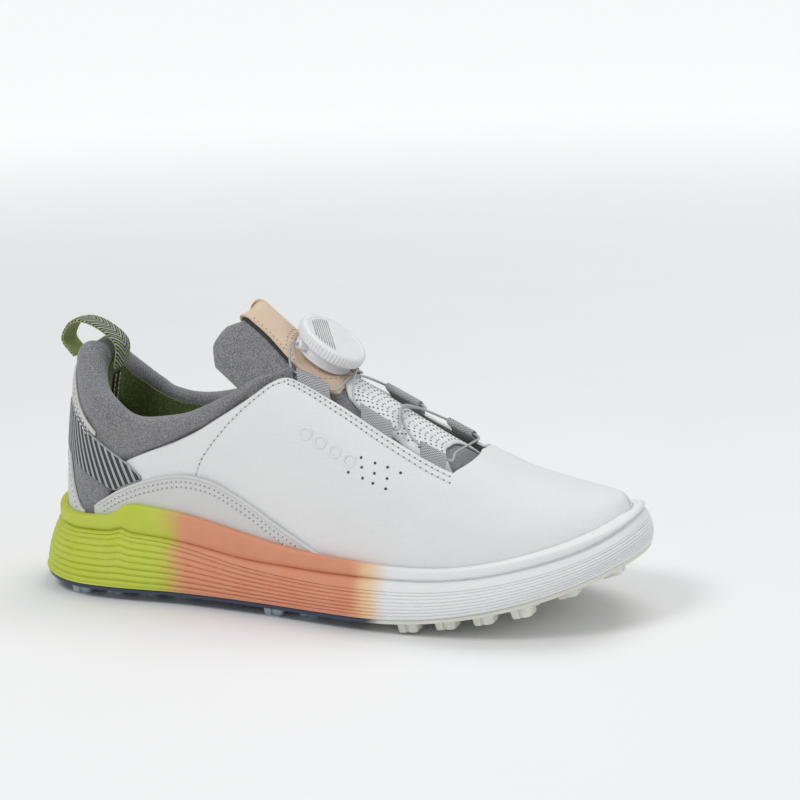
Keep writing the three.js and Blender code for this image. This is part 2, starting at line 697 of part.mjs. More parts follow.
function tongueRib(k) {
  const rear = TONGUE_REAR_RIBS[k];
  if (rear) {
    const lift = (z) => 41 + (z - 41) * TALL;
    const [lateral, medial, [topX, topZ]] = rear;
    const fit = ([x, y, z]) => [x * LONG, y * WIDE, lift(z)];
    return [...fit(lateral), ...fit(medial), topX * LONG, lift(topZ)];
  }
  const [lx, ly, le] = FITTED[k];
  const [mx, my, me] = FITTED[RIBS - k];
  const [, , , tx, , tz] = FITTED[k];
  return [lx, ly, le - TUCK, mx, my, me - TUCK, tx, tz];
}

function tongueRow(v) {
  const whole = Math.floor(v);
  const weights = splineWeights(v - whole);
  const out = new Array(8).fill(0);
  weights.forEach((weight, k) => {
    tongueRib(whole + k - 1).forEach((value, n) => { out[n] += weight * value; });
  });
  return out;
}

// Seen from above the ribs are bent at the middle line; each row is bowed so that it runs round.
const ROUNDED_SHARE = 0.5;
function tongueForm(v, s) {
  const squareness = 2 / mix(2.5, 2, smooth(v, 5, 6.6));
  const turn = Math.min(s, 2 - s) * Math.PI / 2;
  const outward = Math.max(Math.cos(turn), 0) ** squareness;
  const upward = Math.sin(turn) ** squareness;
  const side = s <= 1 ? 0 : 3;
  const here = tongueRow(v);
  const spacing = tongueRow(v + 0.5)[6] - tongueRow(v - 0.5)[6];
  const lean = (here[side] - here[6]) / spacing;
  const row = tongueRow(v - lean * (outward - outward ** 2 / ROUNDED_SHARE));
  const [bx, by, bz] = row.slice(side, side + 3);
  const [tx, tz] = row.slice(6);
  return new THREE.Vector3(mix(tx, bx, outward), mix(1.2, by, outward), mix(bz, tz, upward));
}

const TONGUE_DROP = 6.1;        // the tongue's face lies this far inside the form

function tongueFace(v, s, out) {
  const step = 0.02;
  const along = tongueForm(v + step, s).sub(tongueForm(v - step, s));
  const over = tongueForm(v, s + step).sub(tongueForm(v, s - step));
  return tongueForm(v, s).addScaledVector(along.cross(over).normalize(), out - TONGUE_DROP);
}

const TONGUE_FRONT = 9;
const TONGUE_BACK = 4.75;
const tongueSide = lineThrough([[4.75, 0.7], [5, 0.61], [5.35, 0.61], [5.75, 0.68], [6.1, 0.69], [6.5, 0.6],
  [7, 0.54], [8, 0.54], [9, 0.62]]);

// A layer of the tongue between two ribs and, on each side, the line sideAt.
function tongueLayer({ from, to, sideAt, outerAt, thicknessAt, columns = 8 }) {
  const rows = Math.round((to - from) / U_STEP);
  const point = (i, j, back) => {
    const v = from + i * U_STEP;
    const side = sideAt(v);
    const s = mix(side, 2 - side, j / columns);
    const edge = Math.abs(2 * j / columns - 1);
    return tongueFace(v, s, outerAt - (back ? thicknessAt(v, edge) : 0));
  };
  return sheet(rows, columns, (i, j) => point(i, j, false), (i, j) => point(i, j, true));
}

add('tongue', tongueLayer({
  from: TONGUE_BACK, to: TONGUE_FRONT, sideAt: tongueSide, outerAt: 0,
  thicknessAt: (v, edge) => mix(TONGUE, TONGUE_EDGE, edge ** 3),
}), 0x8a8a8e, 0.95);

// A narrower tongue is rounder, and what lies on it stands off by a little more.
const NARROW_LIFT = 0.5;        // per share that the last is narrower
const onTongue = {
  outerAt: overlayOut + GAP / 2 + NARROW_LIFT * Math.max(1 - WIDE, 0),
  thicknessAt: () => OVERLAY_LEATHER,
};
add('tongue_overlay', tongueLayer({
  from: 7.25, to: 8.25, sideAt: lineThrough([[7.25, 0.78], [8.25, 0.74]]), ...onTongue,
}), 0xeeeeec, 0.65);

// The dial sits in a round window of the tan patch. A narrower last takes a smaller dial.
const dialFit = Math.min(WIDE, 1);
const spoolRadius = SPOOL_RADIUS * dialFit;
const flangeRadius = DIAL_FLANGE_RADIUS * dialFit;
const dialRadius = DIAL_RADIUS * dialFit;
const windowRadius = flangeRadius + GAP;
const DIAL_RIB = 6.25;
const DIAL_LIFT = 2.2;          // from the tongue's face to the underside of the dial's base
const dialSpot = tongueFace(DIAL_RIB, 1, DIAL_LIFT);
const dialUp = tongueFace(DIAL_RIB, 1, DIAL_LIFT + 1).sub(dialSpot);
const dialLean = Math.atan2(dialUp.x, dialUp.z);

const windowTool = placed(new THREE.CylinderGeometry(windowRadius, windowRadius, 40, 32)
  .rotateX(Math.PI / 2).rotateY(dialLean), { at: dialSpot.toArray() });
const tanSheet = tongueLayer({
  from: TONGUE_BACK, to: 7,
  sideAt: lineThrough([[4.75, 0.83], [5.25, 0.83], [5.75, 0.74], [6.25, 0.7], [6.75, 0.72], [7, 0.8]]),
  ...onTongue,
});
add('tongue_patch', fromManifold(toManifold(tanSheet).subtract(toManifold(windowTool))), 0xd8bd9c, 0.6);

// ---------------------------------------------------------------- dial

const dial = new THREE.Group();
dial.position.copy(dialSpot);
dial.rotation.y = dialLean;
shoe.add(dial);

// Turned parts: a closed profile of radius and height, turned about the dial's axis.
function turned(profile, segments = 32) {
  const points = [...profile, profile[0]].map(([radius, height]) => new THREE.Vector2(radius, height));
  return new THREE.LatheGeometry(points, segments).rotateX(Math.PI / 2);
}

const spoolLow = DIAL_FLANGE + GAP;
const spoolTop = spoolLow + SPOOL_HEIGHT;
const discLow = Math.max(spoolTop, DIAL_BASE_HEIGHT) + GAP;
const discTop = discLow + DRIVE_DISC;
const boreRadius = SCREW_RADIUS + GAP;
const cupRadius = spoolRadius + GAP;
const cupOuter = cupRadius + DIAL_CUP_WALL;
const skirtRadius = cupOuter + 0.5;
const skirtLow = DIAL_BASE_HEIGHT + 0.2;
const headTop = discTop + GAP + SCREW_HEAD;
const ceiling = headTop + 0.5;
const portReach = flangeRadius - 1;
const PORT_SIDE = [-0.52, 0.854];   // direction of the ports in the dial's plane

const baseProfile = [[0, 0], [flangeRadius, 0], [flangeRadius, DIAL_FLANGE - 0.3],
  [cupOuter, DIAL_FLANGE + 0.2], [cupOuter, DIAL_BASE_HEIGHT], [cupRadius, DIAL_BASE_HEIGHT],
  [cupRadius, DIAL_FLANGE], [0, DIAL_FLANGE]];
let dialBase = toManifold(turned(baseProfile));
const portBoss = new THREE.CylinderGeometry(PORT_RADIUS, PORT_RADIUS, 8, 12);
const portBore = new THREE.CylinderGeometry(LACE / 2 + GAP, LACE / 2 + GAP, 20, 10);
for (const side of [-1, 1]) {
  const [dx, dy] = [PORT_SIDE[0], PORT_SIDE[1] * side];
  const turn = [0, 0, Math.atan2(dy, dx) - Math.PI / 2];
  const boss = placed(portBoss, { at: [dx * portReach, dy * portReach, PORT_HEIGHT], turn });
  const bore = placed(portBore, { at: [dx * (cupRadius + 9), dy * (cupRadius + 9), PORT_HEIGHT], turn });
  dialBase = dialBase.add(toManifold(boss)).subtract(toManifold(bore));
}
const spoolRoom = turned([[0, DIAL_FLANGE], [cupRadius, DIAL_FLANGE], [cupRadius, DIAL_HEIGHT],
  [0, DIAL_HEIGHT]]);
dialBase = dialBase.subtract(toManifold(spoolRoom));
add('dial_base', fromManifold(dialBase), 0xe4e4e6, 0.4, dial);

add('spool', turned([[boreRadius, spoolLow], [spoolRadius, spoolLow], [spoolRadius, spoolLow + 0.8],
  [spoolRadius - 3, spoolLow + 1.2], [spoolRadius - 3, spoolTop - 1.2],
  [spoolRadius, spoolTop - 0.8], [spoolRadius, spoolTop],
  [boreRadius, spoolTop]], 24), 0x4a4b50, 0.5, dial);
add('drive_disc', turned([[boreRadius, discLow], [cupOuter - 0.2, discLow], [cupOuter - 0.2, discTop],
  [boreRadius, discTop]], 24), 0x3d6fb0, 0.5, dial);
add('dial_screw', turned([[0, spoolLow], [SCREW_RADIUS, spoolLow], [SCREW_RADIUS, discTop + GAP],
  [SCREW_HEAD_RADIUS, discTop + GAP], [SCREW_HEAD_RADIUS, headTop], [0, headTop]], 16), 0xb8babd, 0.3, dial);
add('dial_knob', turned([[0, ceiling], [skirtRadius, ceiling], [skirtRadius, skirtLow],
  [dialRadius - 0.4, skirtLow], [dialRadius, skirtLow + 1], [dialRadius, DIAL_HEIGHT - 0.8],
  [dialRadius - 1, DIAL_HEIGHT], [0, DIAL_HEIGHT]], 36), 0xf2f2f4, 0.35, dial);

// ---------------------------------------------------------------- lace guides and lace

const GUIDE_SPANS = [[6.02, 6.5], [6.95, 7.4], [7.8, 8.15]];
const GUIDE_OFFSET = 0.03;      // t from the leather's edge to the start of a guide
const GUIDE_LIFT = 0.3;         // middle of the fold, against the leather's outer face
const laceRoom = LACE / 2 + 1.5 * GAP;
const guideHalf = laceRoom + GUIDE_WALL;
const GUIDE_STEPS = 4;
const LACE_IN_FOLD = GUIDE_WIDTH - GUIDE_WALL - laceRoom;

const sideOf = (u, lateral) => (lateral ? u : RIBS - u);

// Frame of a guide at rib u: a point on the edge, the way across it and the way out.
function guideFrame(u, lateral) {
  const place = sideOf(u, lateral);
  const t = quarterTop(u) + GUIDE_OFFSET;
  const origin = wall(place, t, GUIDE_LIFT);
  const outward = wall(place, t, GUIDE_LIFT + 1).sub(origin);
  const over = wall(place, t + 0.02, GUIDE_LIFT).sub(origin).normalize();
  over.addScaledVector(outward, -over.dot(outward)).normalize();
  return { origin, outward, over };
}

const foldSection = [[0, -guideHalf], [GUIDE_WIDTH, -guideHalf], [GUIDE_WIDTH, guideHalf], [0, guideHalf],
  [0, laceRoom], [GUIDE_WIDTH - GUIDE_WALL, laceRoom], [GUIDE_WIDTH - GUIDE_WALL, -laceRoom], [0, -laceRoom]];

function onGuide(u, lateral, a, n) {
  const { origin, outward, over } = guideFrame(u, lateral);
  return origin.clone().addScaledVector(over, a).addScaledVector(outward, n);
}

function guide(span, lateral) {
  const skin = new Skin();
  const loops = Array.from({ length: GUIDE_STEPS + 1 }, (_, i) => {
    const u = mix(span[0], span[1], i / GUIDE_STEPS);
    return foldSection.map(([a, n]) => onGuide(u, lateral, a, n));
  });
  const ordered = lateral ? loops : loops.slice().reverse();
  const count = foldSection.length;
  for (let i = 0; i < GUIDE_STEPS; i += 1) {
    for (let j = 0; j < count; j += 1) {
      const next = (j + 1) % count;
      skin.quad(ordered[i][next], ordered[i + 1][next], ordered[i + 1][j], ordered[i][j]);
    }
  }
  const shape = foldSection.map(([a, n]) => new THREE.Vector2(a, n));
  const faces = THREE.ShapeUtils.triangulateShape(shape, []);
  faces.forEach(([a, b, c]) => {
    skin.face(ordered[0][c], ordered[0][b], ordered[0][a]);
    skin.face(ordered[GUIDE_STEPS][a], ordered[GUIDE_STEPS][b], ordered[GUIDE_STEPS][c]);
  });
  return skin.geometry();
}

for (const [name, lateral] of [['lateral', true], ['medial', false]]) {
  GUIDE_SPANS.forEach((span, k) => {
    add(`lace_guide_${name}_${k + 1}`, guide(span, lateral), 0xb9babd, 0.85);
  });
}

// The lace runs from one port of the dial through the six guides to the other port.
const inGuide = (u, lateral) => onGuide(u, lateral, LACE_IN_FOLD, 0);
const LACE_REST = 1.4;          // the lace stands off the overlay that it crosses
const LACE_CROSSING = 0.8;      // and off itself
const LACE_LOW = overlayOut + LACE / 2 + LACE_REST;
const LACE_HIGH = LACE_LOW + LACE + LACE_CROSSING;
const over = (v, s, high = LACE_LOW) => tongueFace(v, s, high);

function portPoint(lateral, out, rise = 0) {
  const local = new THREE.Vector3(PORT_SIDE[0] * out, (lateral ? -1 : 1) * PORT_SIDE[1] * out,
    PORT_HEIGHT + rise);
  dial.updateMatrixWorld();
  return local.applyMatrix4(dial.matrixWorld);
}

const GUIDE_EXIT = 0.07;        // the lace runs straight this far past a guide's ends
function throughGuide(k, lateral, downward) {
  const [a, b] = GUIDE_SPANS[k];
  const places = [a - GUIDE_EXIT, mix(a, b, 0.3), mix(a, b, 0.7), b + GUIDE_EXIT];
  const ordered = downward ? places : places.reverse();
  return ordered.map((u) => inGuide(u, lateral));
}

const lacePoints = [
  portPoint(true, cupRadius + 1.5), portPoint(true, cupRadius + 4), portPoint(true, cupRadius + 7),
  portPoint(true, cupRadius + 10, 0.5),
  ...throughGuide(0, true, true), over(6.85, 1, LACE_LOW),
  ...throughGuide(1, false, true), over(7.6, 1, LACE_LOW),
  ...throughGuide(2, true, true), over(8.4, 0.85), over(8.42, 1.15),
  ...throughGuide(2, false, false), over(7.6, 1, LACE_HIGH),
  ...throughGuide(1, true, false), over(6.85, 1, LACE_HIGH),
  ...throughGuide(0, false, false),
  portPoint(false, cupRadius + 10, 0.5), portPoint(false, cupRadius + 7),
  portPoint(false, cupRadius + 4), portPoint(false, cupRadius + 1.5),
];
const LACE_SIDES = 8;
const LACE_STEPS = 80;
const laceSection = new THREE.Shape(Array.from({ length: LACE_SIDES }, (_, k) => {
  const turn = 2 * Math.PI * k / LACE_SIDES;
  return new THREE.Vector2(LACE / 2 * Math.cos(turn), LACE / 2 * Math.sin(turn));
}));
const lacePath = new THREE.CatmullRomCurve3(lacePoints, false, 'centripetal');
const laceBody = new THREE.ExtrudeGeometry(laceSection, {
  steps: LACE_STEPS, extrudePath: lacePath, bevelEnabled: false,
});
add('lace', laceBody, 0xd4d4d6, 0.6);

// ---------------------------------------------------------------- pull loop and seam tape

// A flat webbing along a line in the plane of symmetry, from points [x, z].
function webbing(points, width, thickness, steps) {
  const line = new THREE.CatmullRomCurve3(points.map(([x, z]) => new THREE.Vector3(x, 0, z)));
  const loops = Array.from({ length: steps + 1 }, (_, i) => {
    const centre = line.getPoint(i / steps);
    const along = line.getTangent(i / steps);
    const out = new THREE.Vector3(-along.z, 0, along.x).multiplyScalar(thickness / 2);
    const side = new THREE.Vector3(0, width / 2, 0);
    return [
      centre.clone().add(out).add(side), centre.clone().add(out).sub(side),
      centre.clone().sub(out).sub(side), centre.clone().sub(out).add(side),
    ];
  });
  return loft(loops.map((loop) => loop.slice().reverse()));
}

const heelOut = wall(0, 0.84, 3.4);
const heelTop = wall(0, 1, 0);
const heelIn = wall(0, 0.86, -COLLAR_HEEL - LINING - 3);
const loopPoints = [
  [heelOut.x, heelOut.z + 3], [heelOut.x - 5, heelOut.z + 9], [heelTop.x - 11, heelTop.z + 3],
  [heelTop.x - 6, heelTop.z + 10], [heelTop.x + 3, heelTop.z + 10], [heelIn.x + 1, heelTop.z + 1],
  [heelIn.x, heelIn.z + 2],
];
add('pull_loop', webbing(loopPoints, LOOP_WIDTH, WEBBING, 22), 0x2b2c2a, 0.8);

add('heel_seam_tape', patch({
  from: -0.25, to: 0.25, lowAt: () => 0.5, highAt: () => 0.8,
  outerAt: -COLLAR_HEEL - 2 * GAP - LINING, thickness: 0.8,
}), 0x2a2b2b, 0.85);

shoe.updateMatrixWorld(true);
const box = new THREE.Box3().setFromObject(shoe);
const middle = box.getCenter(new THREE.Vector3());
shoe.position.set(-middle.x, -middle.y, -box.min.z);

export default shoe;
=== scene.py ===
"""A golf shoe for the right foot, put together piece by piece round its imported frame."""
import math

import bmesh
import bpy
import numpy as np
from mathutils import Matrix, Vector, noise


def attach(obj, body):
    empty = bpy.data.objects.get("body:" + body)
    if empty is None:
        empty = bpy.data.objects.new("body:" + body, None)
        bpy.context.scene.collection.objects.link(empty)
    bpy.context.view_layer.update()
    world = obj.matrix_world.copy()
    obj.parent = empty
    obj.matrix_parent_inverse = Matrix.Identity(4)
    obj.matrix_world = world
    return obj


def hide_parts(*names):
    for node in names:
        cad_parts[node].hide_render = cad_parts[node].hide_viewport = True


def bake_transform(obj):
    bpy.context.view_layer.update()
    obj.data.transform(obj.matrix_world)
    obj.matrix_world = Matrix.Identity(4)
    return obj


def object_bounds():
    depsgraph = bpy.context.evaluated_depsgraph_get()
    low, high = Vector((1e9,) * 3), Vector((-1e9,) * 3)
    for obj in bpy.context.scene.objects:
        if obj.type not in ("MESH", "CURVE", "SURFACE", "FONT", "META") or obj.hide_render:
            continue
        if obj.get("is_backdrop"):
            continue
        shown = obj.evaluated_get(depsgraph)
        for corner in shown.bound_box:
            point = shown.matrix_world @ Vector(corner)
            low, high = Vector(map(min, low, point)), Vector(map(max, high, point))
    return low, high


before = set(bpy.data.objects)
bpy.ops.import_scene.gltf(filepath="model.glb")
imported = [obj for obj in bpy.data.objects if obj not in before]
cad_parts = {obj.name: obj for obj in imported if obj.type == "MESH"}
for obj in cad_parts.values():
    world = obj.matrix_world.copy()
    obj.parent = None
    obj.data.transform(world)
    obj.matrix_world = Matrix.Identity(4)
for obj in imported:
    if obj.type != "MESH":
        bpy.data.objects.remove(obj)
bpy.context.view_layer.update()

# ---------------------------------------------------------------- studio
# A plain pale floor that glows far from the shoe, a soft sky, and three round lamps: above the
# outer side, above the inner side and ahead of the toe. The camera stands a little above the shoe,
# in front of its outer side and towards the toe.

FLOOR_HALF = 12.0
GLOW_FROM, GLOW_FULL = 300, 2200      # millimetres from the shoe
LENS, FILM_WIDTH = 97, 36
CAMERA_TURN = math.radians(22)
CAMERA_RISE = math.radians(13)
CAMERA_ROLL = math.radians(-1.8)
CAMERA_DISTANCE = 0.9
CAMERA_AIM = Vector((0.0316, -0.0005, 0.0870))

scene = bpy.context.scene
scene.view_settings.view_transform = "Standard"


class Value:
    """What one socket of a finish works out. Operators on it add the nodes they need."""

    def __init__(self, finish, socket):
        self.finish = finish
        self.socket = socket

    def math(self, operation, *values):
        return self.finish.node("Math", {"operation": operation}, dict(enumerate(values)))

    def __add__(self, other):
        return self.math("ADD", self, other)

    def __sub__(self, other):
        return self.math("SUBTRACT", self, other)

    def __mul__(self, other):
        return self.math("MULTIPLY", self, other)

    def __truediv__(self, other):
        return self.math("DIVIDE", self, other)

    __radd__ = __add__
    __rmul__ = __mul__

    def __rsub__(self, other):
        return self.math("SUBTRACT", other, self)

    def most(self, other):
        return self.math("MAXIMUM", self, other)

    def size(self):
        return self.math("ABSOLUTE", self)

    def part(self):
        """What is left of it past a whole number."""
        return self.math("FRACT", self)

    def wave(self):
        return self.math("SINE", self)

    def rise(self, low, high):
        """0 below low and 1 above high, with a smooth step between."""
        inputs = {0: self, 1: low, 2: high}
        return self.finish.node("MapRange", {"interpolation_type": "SMOOTHSTEP"}, inputs)

    def axes(self):
        split = self.finish.node("SeparateXYZ", {}, {0: self})
        outputs = split.socket.node.outputs
        return [Value(self.finish, outputs[k]) for k in range(3)]


class Finish:
    """A procedural material."""

    def __init__(self, name, constants):
        self.material = bpy.data.materials.new(name)
        self.material.use_nodes = True
        self.tree = self.material.node_tree
        self.tree.nodes.clear()
        shader = self.node("BsdfPrincipled", {}, constants)
        self.shader = shader.socket.node
        self.node("OutputMaterial", {}, {0: shader})

    def feed(self, socket, value):
        if isinstance(value, Value):
            self.tree.links.new(value.socket, socket)
        elif socket.type == "RGBA":
            socket.default_value = (*value, 1)
        else:
            socket.default_value = value

    def node(self, kind, settings, inputs, output=0):
        node = self.tree.nodes.new("ShaderNode" + kind)
        for key, value in settings.items():
            setattr(node, key, value)
        for key, value in inputs.items():
            self.feed(node.inputs[key], value)
        if not node.outputs:
            return None
        return Value(self, node.outputs[output])

    def shade(self, inputs):
        for key, value in inputs.items():
            self.feed(self.shader.inputs[key], value)

    def place(self):
        """Where a point of the shoe is at rest, in millimetres."""
        coords = self.node("TexCoord", {}, {}, 3)
        return self.node("VectorMath", {"operation": "SCALE"}, {0: coords, "Scale": 1000})

    def cloth(self):
        """Where a point lies on its cloth: millimetres along and across it."""
        flat = self.node("UVMap", {"uv_map": "cloth"}, {})
        return self.node("VectorMath", {"operation": "SCALE"}, {0: flat, "Scale": 1000})

    def grain(self, where, per_mm, detail=2, stretch=(1, 1, 1)):
        where = self.node("VectorMath", {"operation": "MULTIPLY"}, {0: where, 1: stretch})
        return self.node("TexNoise", {}, {"Vector": where, "Scale": per_mm, "Detail": detail})

    def mix(self, share, first, second):
        inputs = {0: share, 6: first, 7: second}
        return self.node("Mix", {"data_type": "RGBA"}, inputs, 2)

    def bump(self, height, depth, strength=1):
        """The normal over a relief of that depth in metres."""
        return self.node("Bump", {}, {"Height": height, "Distance": depth, "Strength": strength})


def link(name, mesh, finish):
    item = bpy.data.objects.new(name, mesh)
    scene.collection.objects.link(item)
    mesh.materials.append(finish.material)
    return item


floor_finish = Finish("pale_floor", {"Base Color": (0.9, 0.9, 0.9), "Roughness": 0.75})
speckle = floor_finish.grain(floor_finish.place(), 0.01)
from_shoe = floor_finish.node("VectorMath", {"operation": "LENGTH"}, {0: floor_finish.place()}, 1)
floor_finish.shade({
    "Base Color": floor_finish.mix(speckle, (0.89, 0.89, 0.895), (0.92, 0.92, 0.92)),
    "Emission Color": floor_finish.mix(from_shoe.rise(GLOW_FROM, GLOW_FULL), (0, 0, 0), (0.5, 0.5, 0.5)),
    "Emission Strength": 1,
})
floor_mesh = bpy.data.meshes.new("floor")
floor_corners = [(x * FLOOR_HALF, y * FLOOR_HALF, 0) for x, y in ((-1, -1), (1, -1), (1, 1), (-1, 1))]
floor_mesh.from_pydata(floor_corners, [], [(0, 1, 2, 3)])
link("floor", floor_mesh, floor_finish)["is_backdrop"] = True

world = bpy.data.worlds.new("soft_sky")
world.use_nodes = True
sky = world.node_tree.nodes["Background"]
sky.inputs["Color"].default_value = (0.97, 0.985, 1, 1)
sky.inputs["Strength"].default_value = 0.5
scene.world = world


def softbox(name, place, aim, width, power):
    lamp = bpy.data.lights.new(name, "AREA")
    lamp.shape = "DISK"
    lamp.size = width
    lamp.energy = power
    item = bpy.data.objects.new(name, lamp)
    scene.collection.objects.link(item)
    item.location = place
    item.rotation_euler = (Vector(aim) - Vector(place)).to_track_quat("-Z", "Y").to_euler()


softbox("key_lamp", (-0.35, -0.75, 1.1), (0, 0, 0.05), 0.5, 5.5)
softbox("top_lamp", (0.2, 0.5, 1.2), (0, 0, 0.05), 0.9, 5)
softbox("toe_lamp", (1.1, -0.4, 0.6), (0.05, 0, 0.05), 0.5, 1.2)

right = Vector((math.cos(CAMERA_TURN), math.sin(CAMERA_TURN), 0))
level = Vector((math.sin(CAMERA_TURN), -math.cos(CAMERA_TURN), 0))
back = level * math.cos(CAMERA_RISE) + Vector((0, 0, math.sin(CAMERA_RISE)))
up = back.cross(right)
rolled = (right * math.cos(CAMERA_ROLL) + up * math.sin(CAMERA_ROLL),
          up * math.cos(CAMERA_ROLL) - right * math.sin(CAMERA_ROLL), back)
camera_data = bpy.data.cameras.new("camera")
camera_data.lens = LENS
camera_data.sensor_width = FILM_WIDTH
camera = bpy.data.objects.new("camera", camera_data)
scene.collection.objects.link(camera)
stand = Matrix.Translation(CAMERA_AIM + back * CAMERA_DISTANCE)
camera.matrix_world = stand @ Matrix(rolled).transposed().to_4x4()
scene.camera = camera

# ---------------------------------------------------------------- outsole
# One moulding of clear rubber, ivory under the ball of the foot and dark blue behind it. Square
# lugs with a notch in each side stand on it on a turned grid; behind the ball their ends are pale.

# The foot form that every piece is laid over, in millimetres: ribs from the heel along the outer
# side to the toe and back. Each has its plan point, the height of the sole's edge, the top point
# on the collar or the ridge of the forefoot, and how round the wall between them is.
FORM_RIBS = np.array([
    (-123, 0, 41, -113, 0, 105, 0.3), (-119, -17, 39, -110, -14, 104, 0.3),
    (-106, -28, 38, -98, -25, 90, 0.3), (-80, -31, 42, -80, -28, 77, 0.3),
    (-52, -31, 41, -52, -28, 78, 0.3), (-23, -33, 34, -28, -24, 94, 0.45),
    (6, -37, 30, -8, -15, 104, 0.75), (36, -41, 28, 16, 1, 97, 1),
    (65, -42, 28, 48, 1.5, 77, 1), (93, -38, 33, 80, 5, 61, 1),
    (115, -28, 39, 104, 8, 55, 1), (129, -12, 44, 121, 9, 52, 1),
    (134, 8, 47, 128, 10, 51, 1), (128, 26, 44, 121, 9, 52, 1),
    (111, 37, 39, 104, 8, 55, 1), (89, 42, 33, 80, 5, 61, 1),
    (60, 43, 28, 48, 1.5, 77, 1), (30, 38, 28, 16, 1, 97, 1),
    (0, 33, 31, -8, 15, 104, 0.75), (-28, 29, 36, -28, 24, 94, 0.45),
    (-54, 29, 41, -52, 28, 78, 0.3), (-82, 30, 42, -80, 28, 77, 0.3),
    (-107, 28, 38, -98, 25, 90, 0.3), (-119, 17, 39, -110, 14, 104, 0.3),
])
RIBS = len(FORM_RIBS)
TOE = RIBS // 2
TUCK = 10                       # how far the form reaches down inside the sole's cup
SHIFT = np.array((-2.358, -0.477, 0.037))     # from the form's own zero to the shoe's
LAST_LENGTH = 257
SIDES = (("lateral", 1), ("medial", -1))


def mix(a, b, share):
    return a + (b - a) * share


def smooth(value, low, high):
    f = np.clip((value - low) / (high - low), 0, 1)
    return f * f * (3 - 2 * f)


def unit(vectors):
    return vectors / np.linalg.norm(vectors, axis=-1, keepdims=True)


def spline_weights(f):
    return ((1 - f) ** 3 / 6, (3 * f ** 3 - 6 * f ** 2 + 4) / 6,
            (-3 * f ** 3 + 3 * f ** 2 + 3 * f + 1) / 6, f ** 3 / 6)


def rib(u):
    """The form's seven values at rib number u, on a smooth closed curve."""
    u = np.asarray(u, float)
    whole = np.floor(u).astype(int)
    weights = spline_weights((u - whole)[..., None])
    return sum(w * FORM_RIBS[(whole + k - 1) % RIBS] for k, w in enumerate(weights))


def from_heel(u):
    wrapped = np.mod(u, RIBS)
    return np.minimum(wrapped, RIBS - wrapped)


def line_through(points):
    """A smooth line through chosen points (u, value), flat beyond its ends."""
    us, values = np.array(points, float).T
    slopes = np.gradient(values, us)
    steps = np.diff(values) / np.diff(us)
    slopes[0], slopes[-1] = steps[0], steps[-1]
    for k in range(1, len(us) - 1):
        slopes[k] = (values[k + 1] - values[k - 1]) / (us[k + 1] - us[k - 1])

    def line(u):
        u = np.clip(np.asarray(u, float), us[0], us[-1])
        k = np.clip(np.searchsorted(us, u, side="right") - 1, 0, len(us) - 2)
        w = us[k + 1] - us[k]
        f = (u - us[k]) / w
        return (values[k] * (2 * f ** 3 - 3 * f ** 2 + 1) + slopes[k] * w * (f ** 3 - 2 * f ** 2 + f)
                + values[k + 1] * (3 * f ** 2 - 2 * f ** 3) + slopes[k + 1] * w * (f ** 3 - f ** 2))
    return line


def plan_point(u, out):
    """Plan point of the form's base, pushed outward."""
    step = 0.01
    side = rib(np.asarray(u) + step)[..., :2] - rib(np.asarray(u) - step)[..., :2]
    way = unit(np.stack([side[..., 1], -side[..., 0]], -1))
    return rib(u)[..., :2] + way * np.asarray(out)[..., None]


HEEL_FROM, HEEL_RUN = -60, 64   # where the sole starts to widen towards the heel, and over how much


def heel_share(u):
    return np.clip((HEEL_FROM - rib(u)[..., 0]) / HEEL_RUN, 0, 1)


def flare(u):
    return 8 + 6 * heel_share(u)


LUG_HEIGHT, LUG_SIZE, LUG_PITCH, LUG_GRID_TURN = 4.2, 9, 15.5, 0.12
PLATE, PLATE_INSET, GAP = 2, 1.6, 0.3


def foam_bottom(x):
    toe = np.maximum((x - 25) / 115, 0)
    heel = np.maximum((-100 - x) / 38, 0)
    return LUG_HEIGHT + PLATE + GAP + 25 * toe ** 2 + 3 * heel ** 2


def grid_faces(rows, columns, first=0, wrap=False):
    """Faces over a grid of vertices, with the columns joined round if wrap is set."""
    i, j = np.meshgrid(np.arange(rows - 1), np.arange(columns if wrap else columns - 1), indexing="ij")
    i, j = i.ravel(), j.ravel()
    here, after, k = i * columns, (i + 1) * columns, (j + 1) % columns
    return first + np.stack([here + j, after + j, after + k, here + k], -1)


def rod_faces(rings, around, first=0):
    """Faces of a closed rod, from rings of vertices: its side and a flat cap on each end."""
    last = first + (rings - 1) * around
    side = [tuple(f) for f in grid_faces(rings, around, first, wrap=True).tolist()]
    return side + [tuple(range(first, first + around)), tuple(range(last, last + around))]


def lay_flat(mesh, name, places):
    """Give each vertex its place on a flat map that a finish can read."""
    corners = np.zeros(len(mesh.loops), int)
    mesh.loops.foreach_get("vertex_index", corners)
    mesh.uv_layers.new(name=name).data.foreach_set("uv", places[corners].ravel())


def piece(name, vertices, faces, finish, slot, body="shoe", replaces=(), sharp=50, cloth=None, weld=0.0):
    """A piece of the shoe from vertices in the form's millimetres, riding on one body."""
    mesh = bpy.data.meshes.new(name)
    places = (np.asarray(vertices, float) + SHIFT) / 1000
    mesh.from_pydata(places.tolist(), [], [tuple(f) for f in faces])
    if cloth is not None:
        lay_flat(mesh, "cloth", np.asarray(cloth, float) / 1000)
    tidy = bmesh.new()
    tidy.from_mesh(mesh)
    if weld:
        bmesh.ops.remove_doubles(tidy, verts=tidy.verts, dist=weld / 1000)
    bmesh.ops.recalc_face_normals(tidy, faces=tidy.faces)
    tidy.to_mesh(mesh)
    tidy.free()
    mesh.shade_smooth()
    mesh.set_sharp_from_angle(angle=math.radians(sharp))
    item = link(name, mesh, finish)
    if body is not None:
        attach(item, body)
    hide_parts(*replaces)
    return item


SOLE_ROWS = 480                 # stations round the sole
sole_ribs = np.arange(SOLE_ROWS) * RIBS / SOLE_ROWS


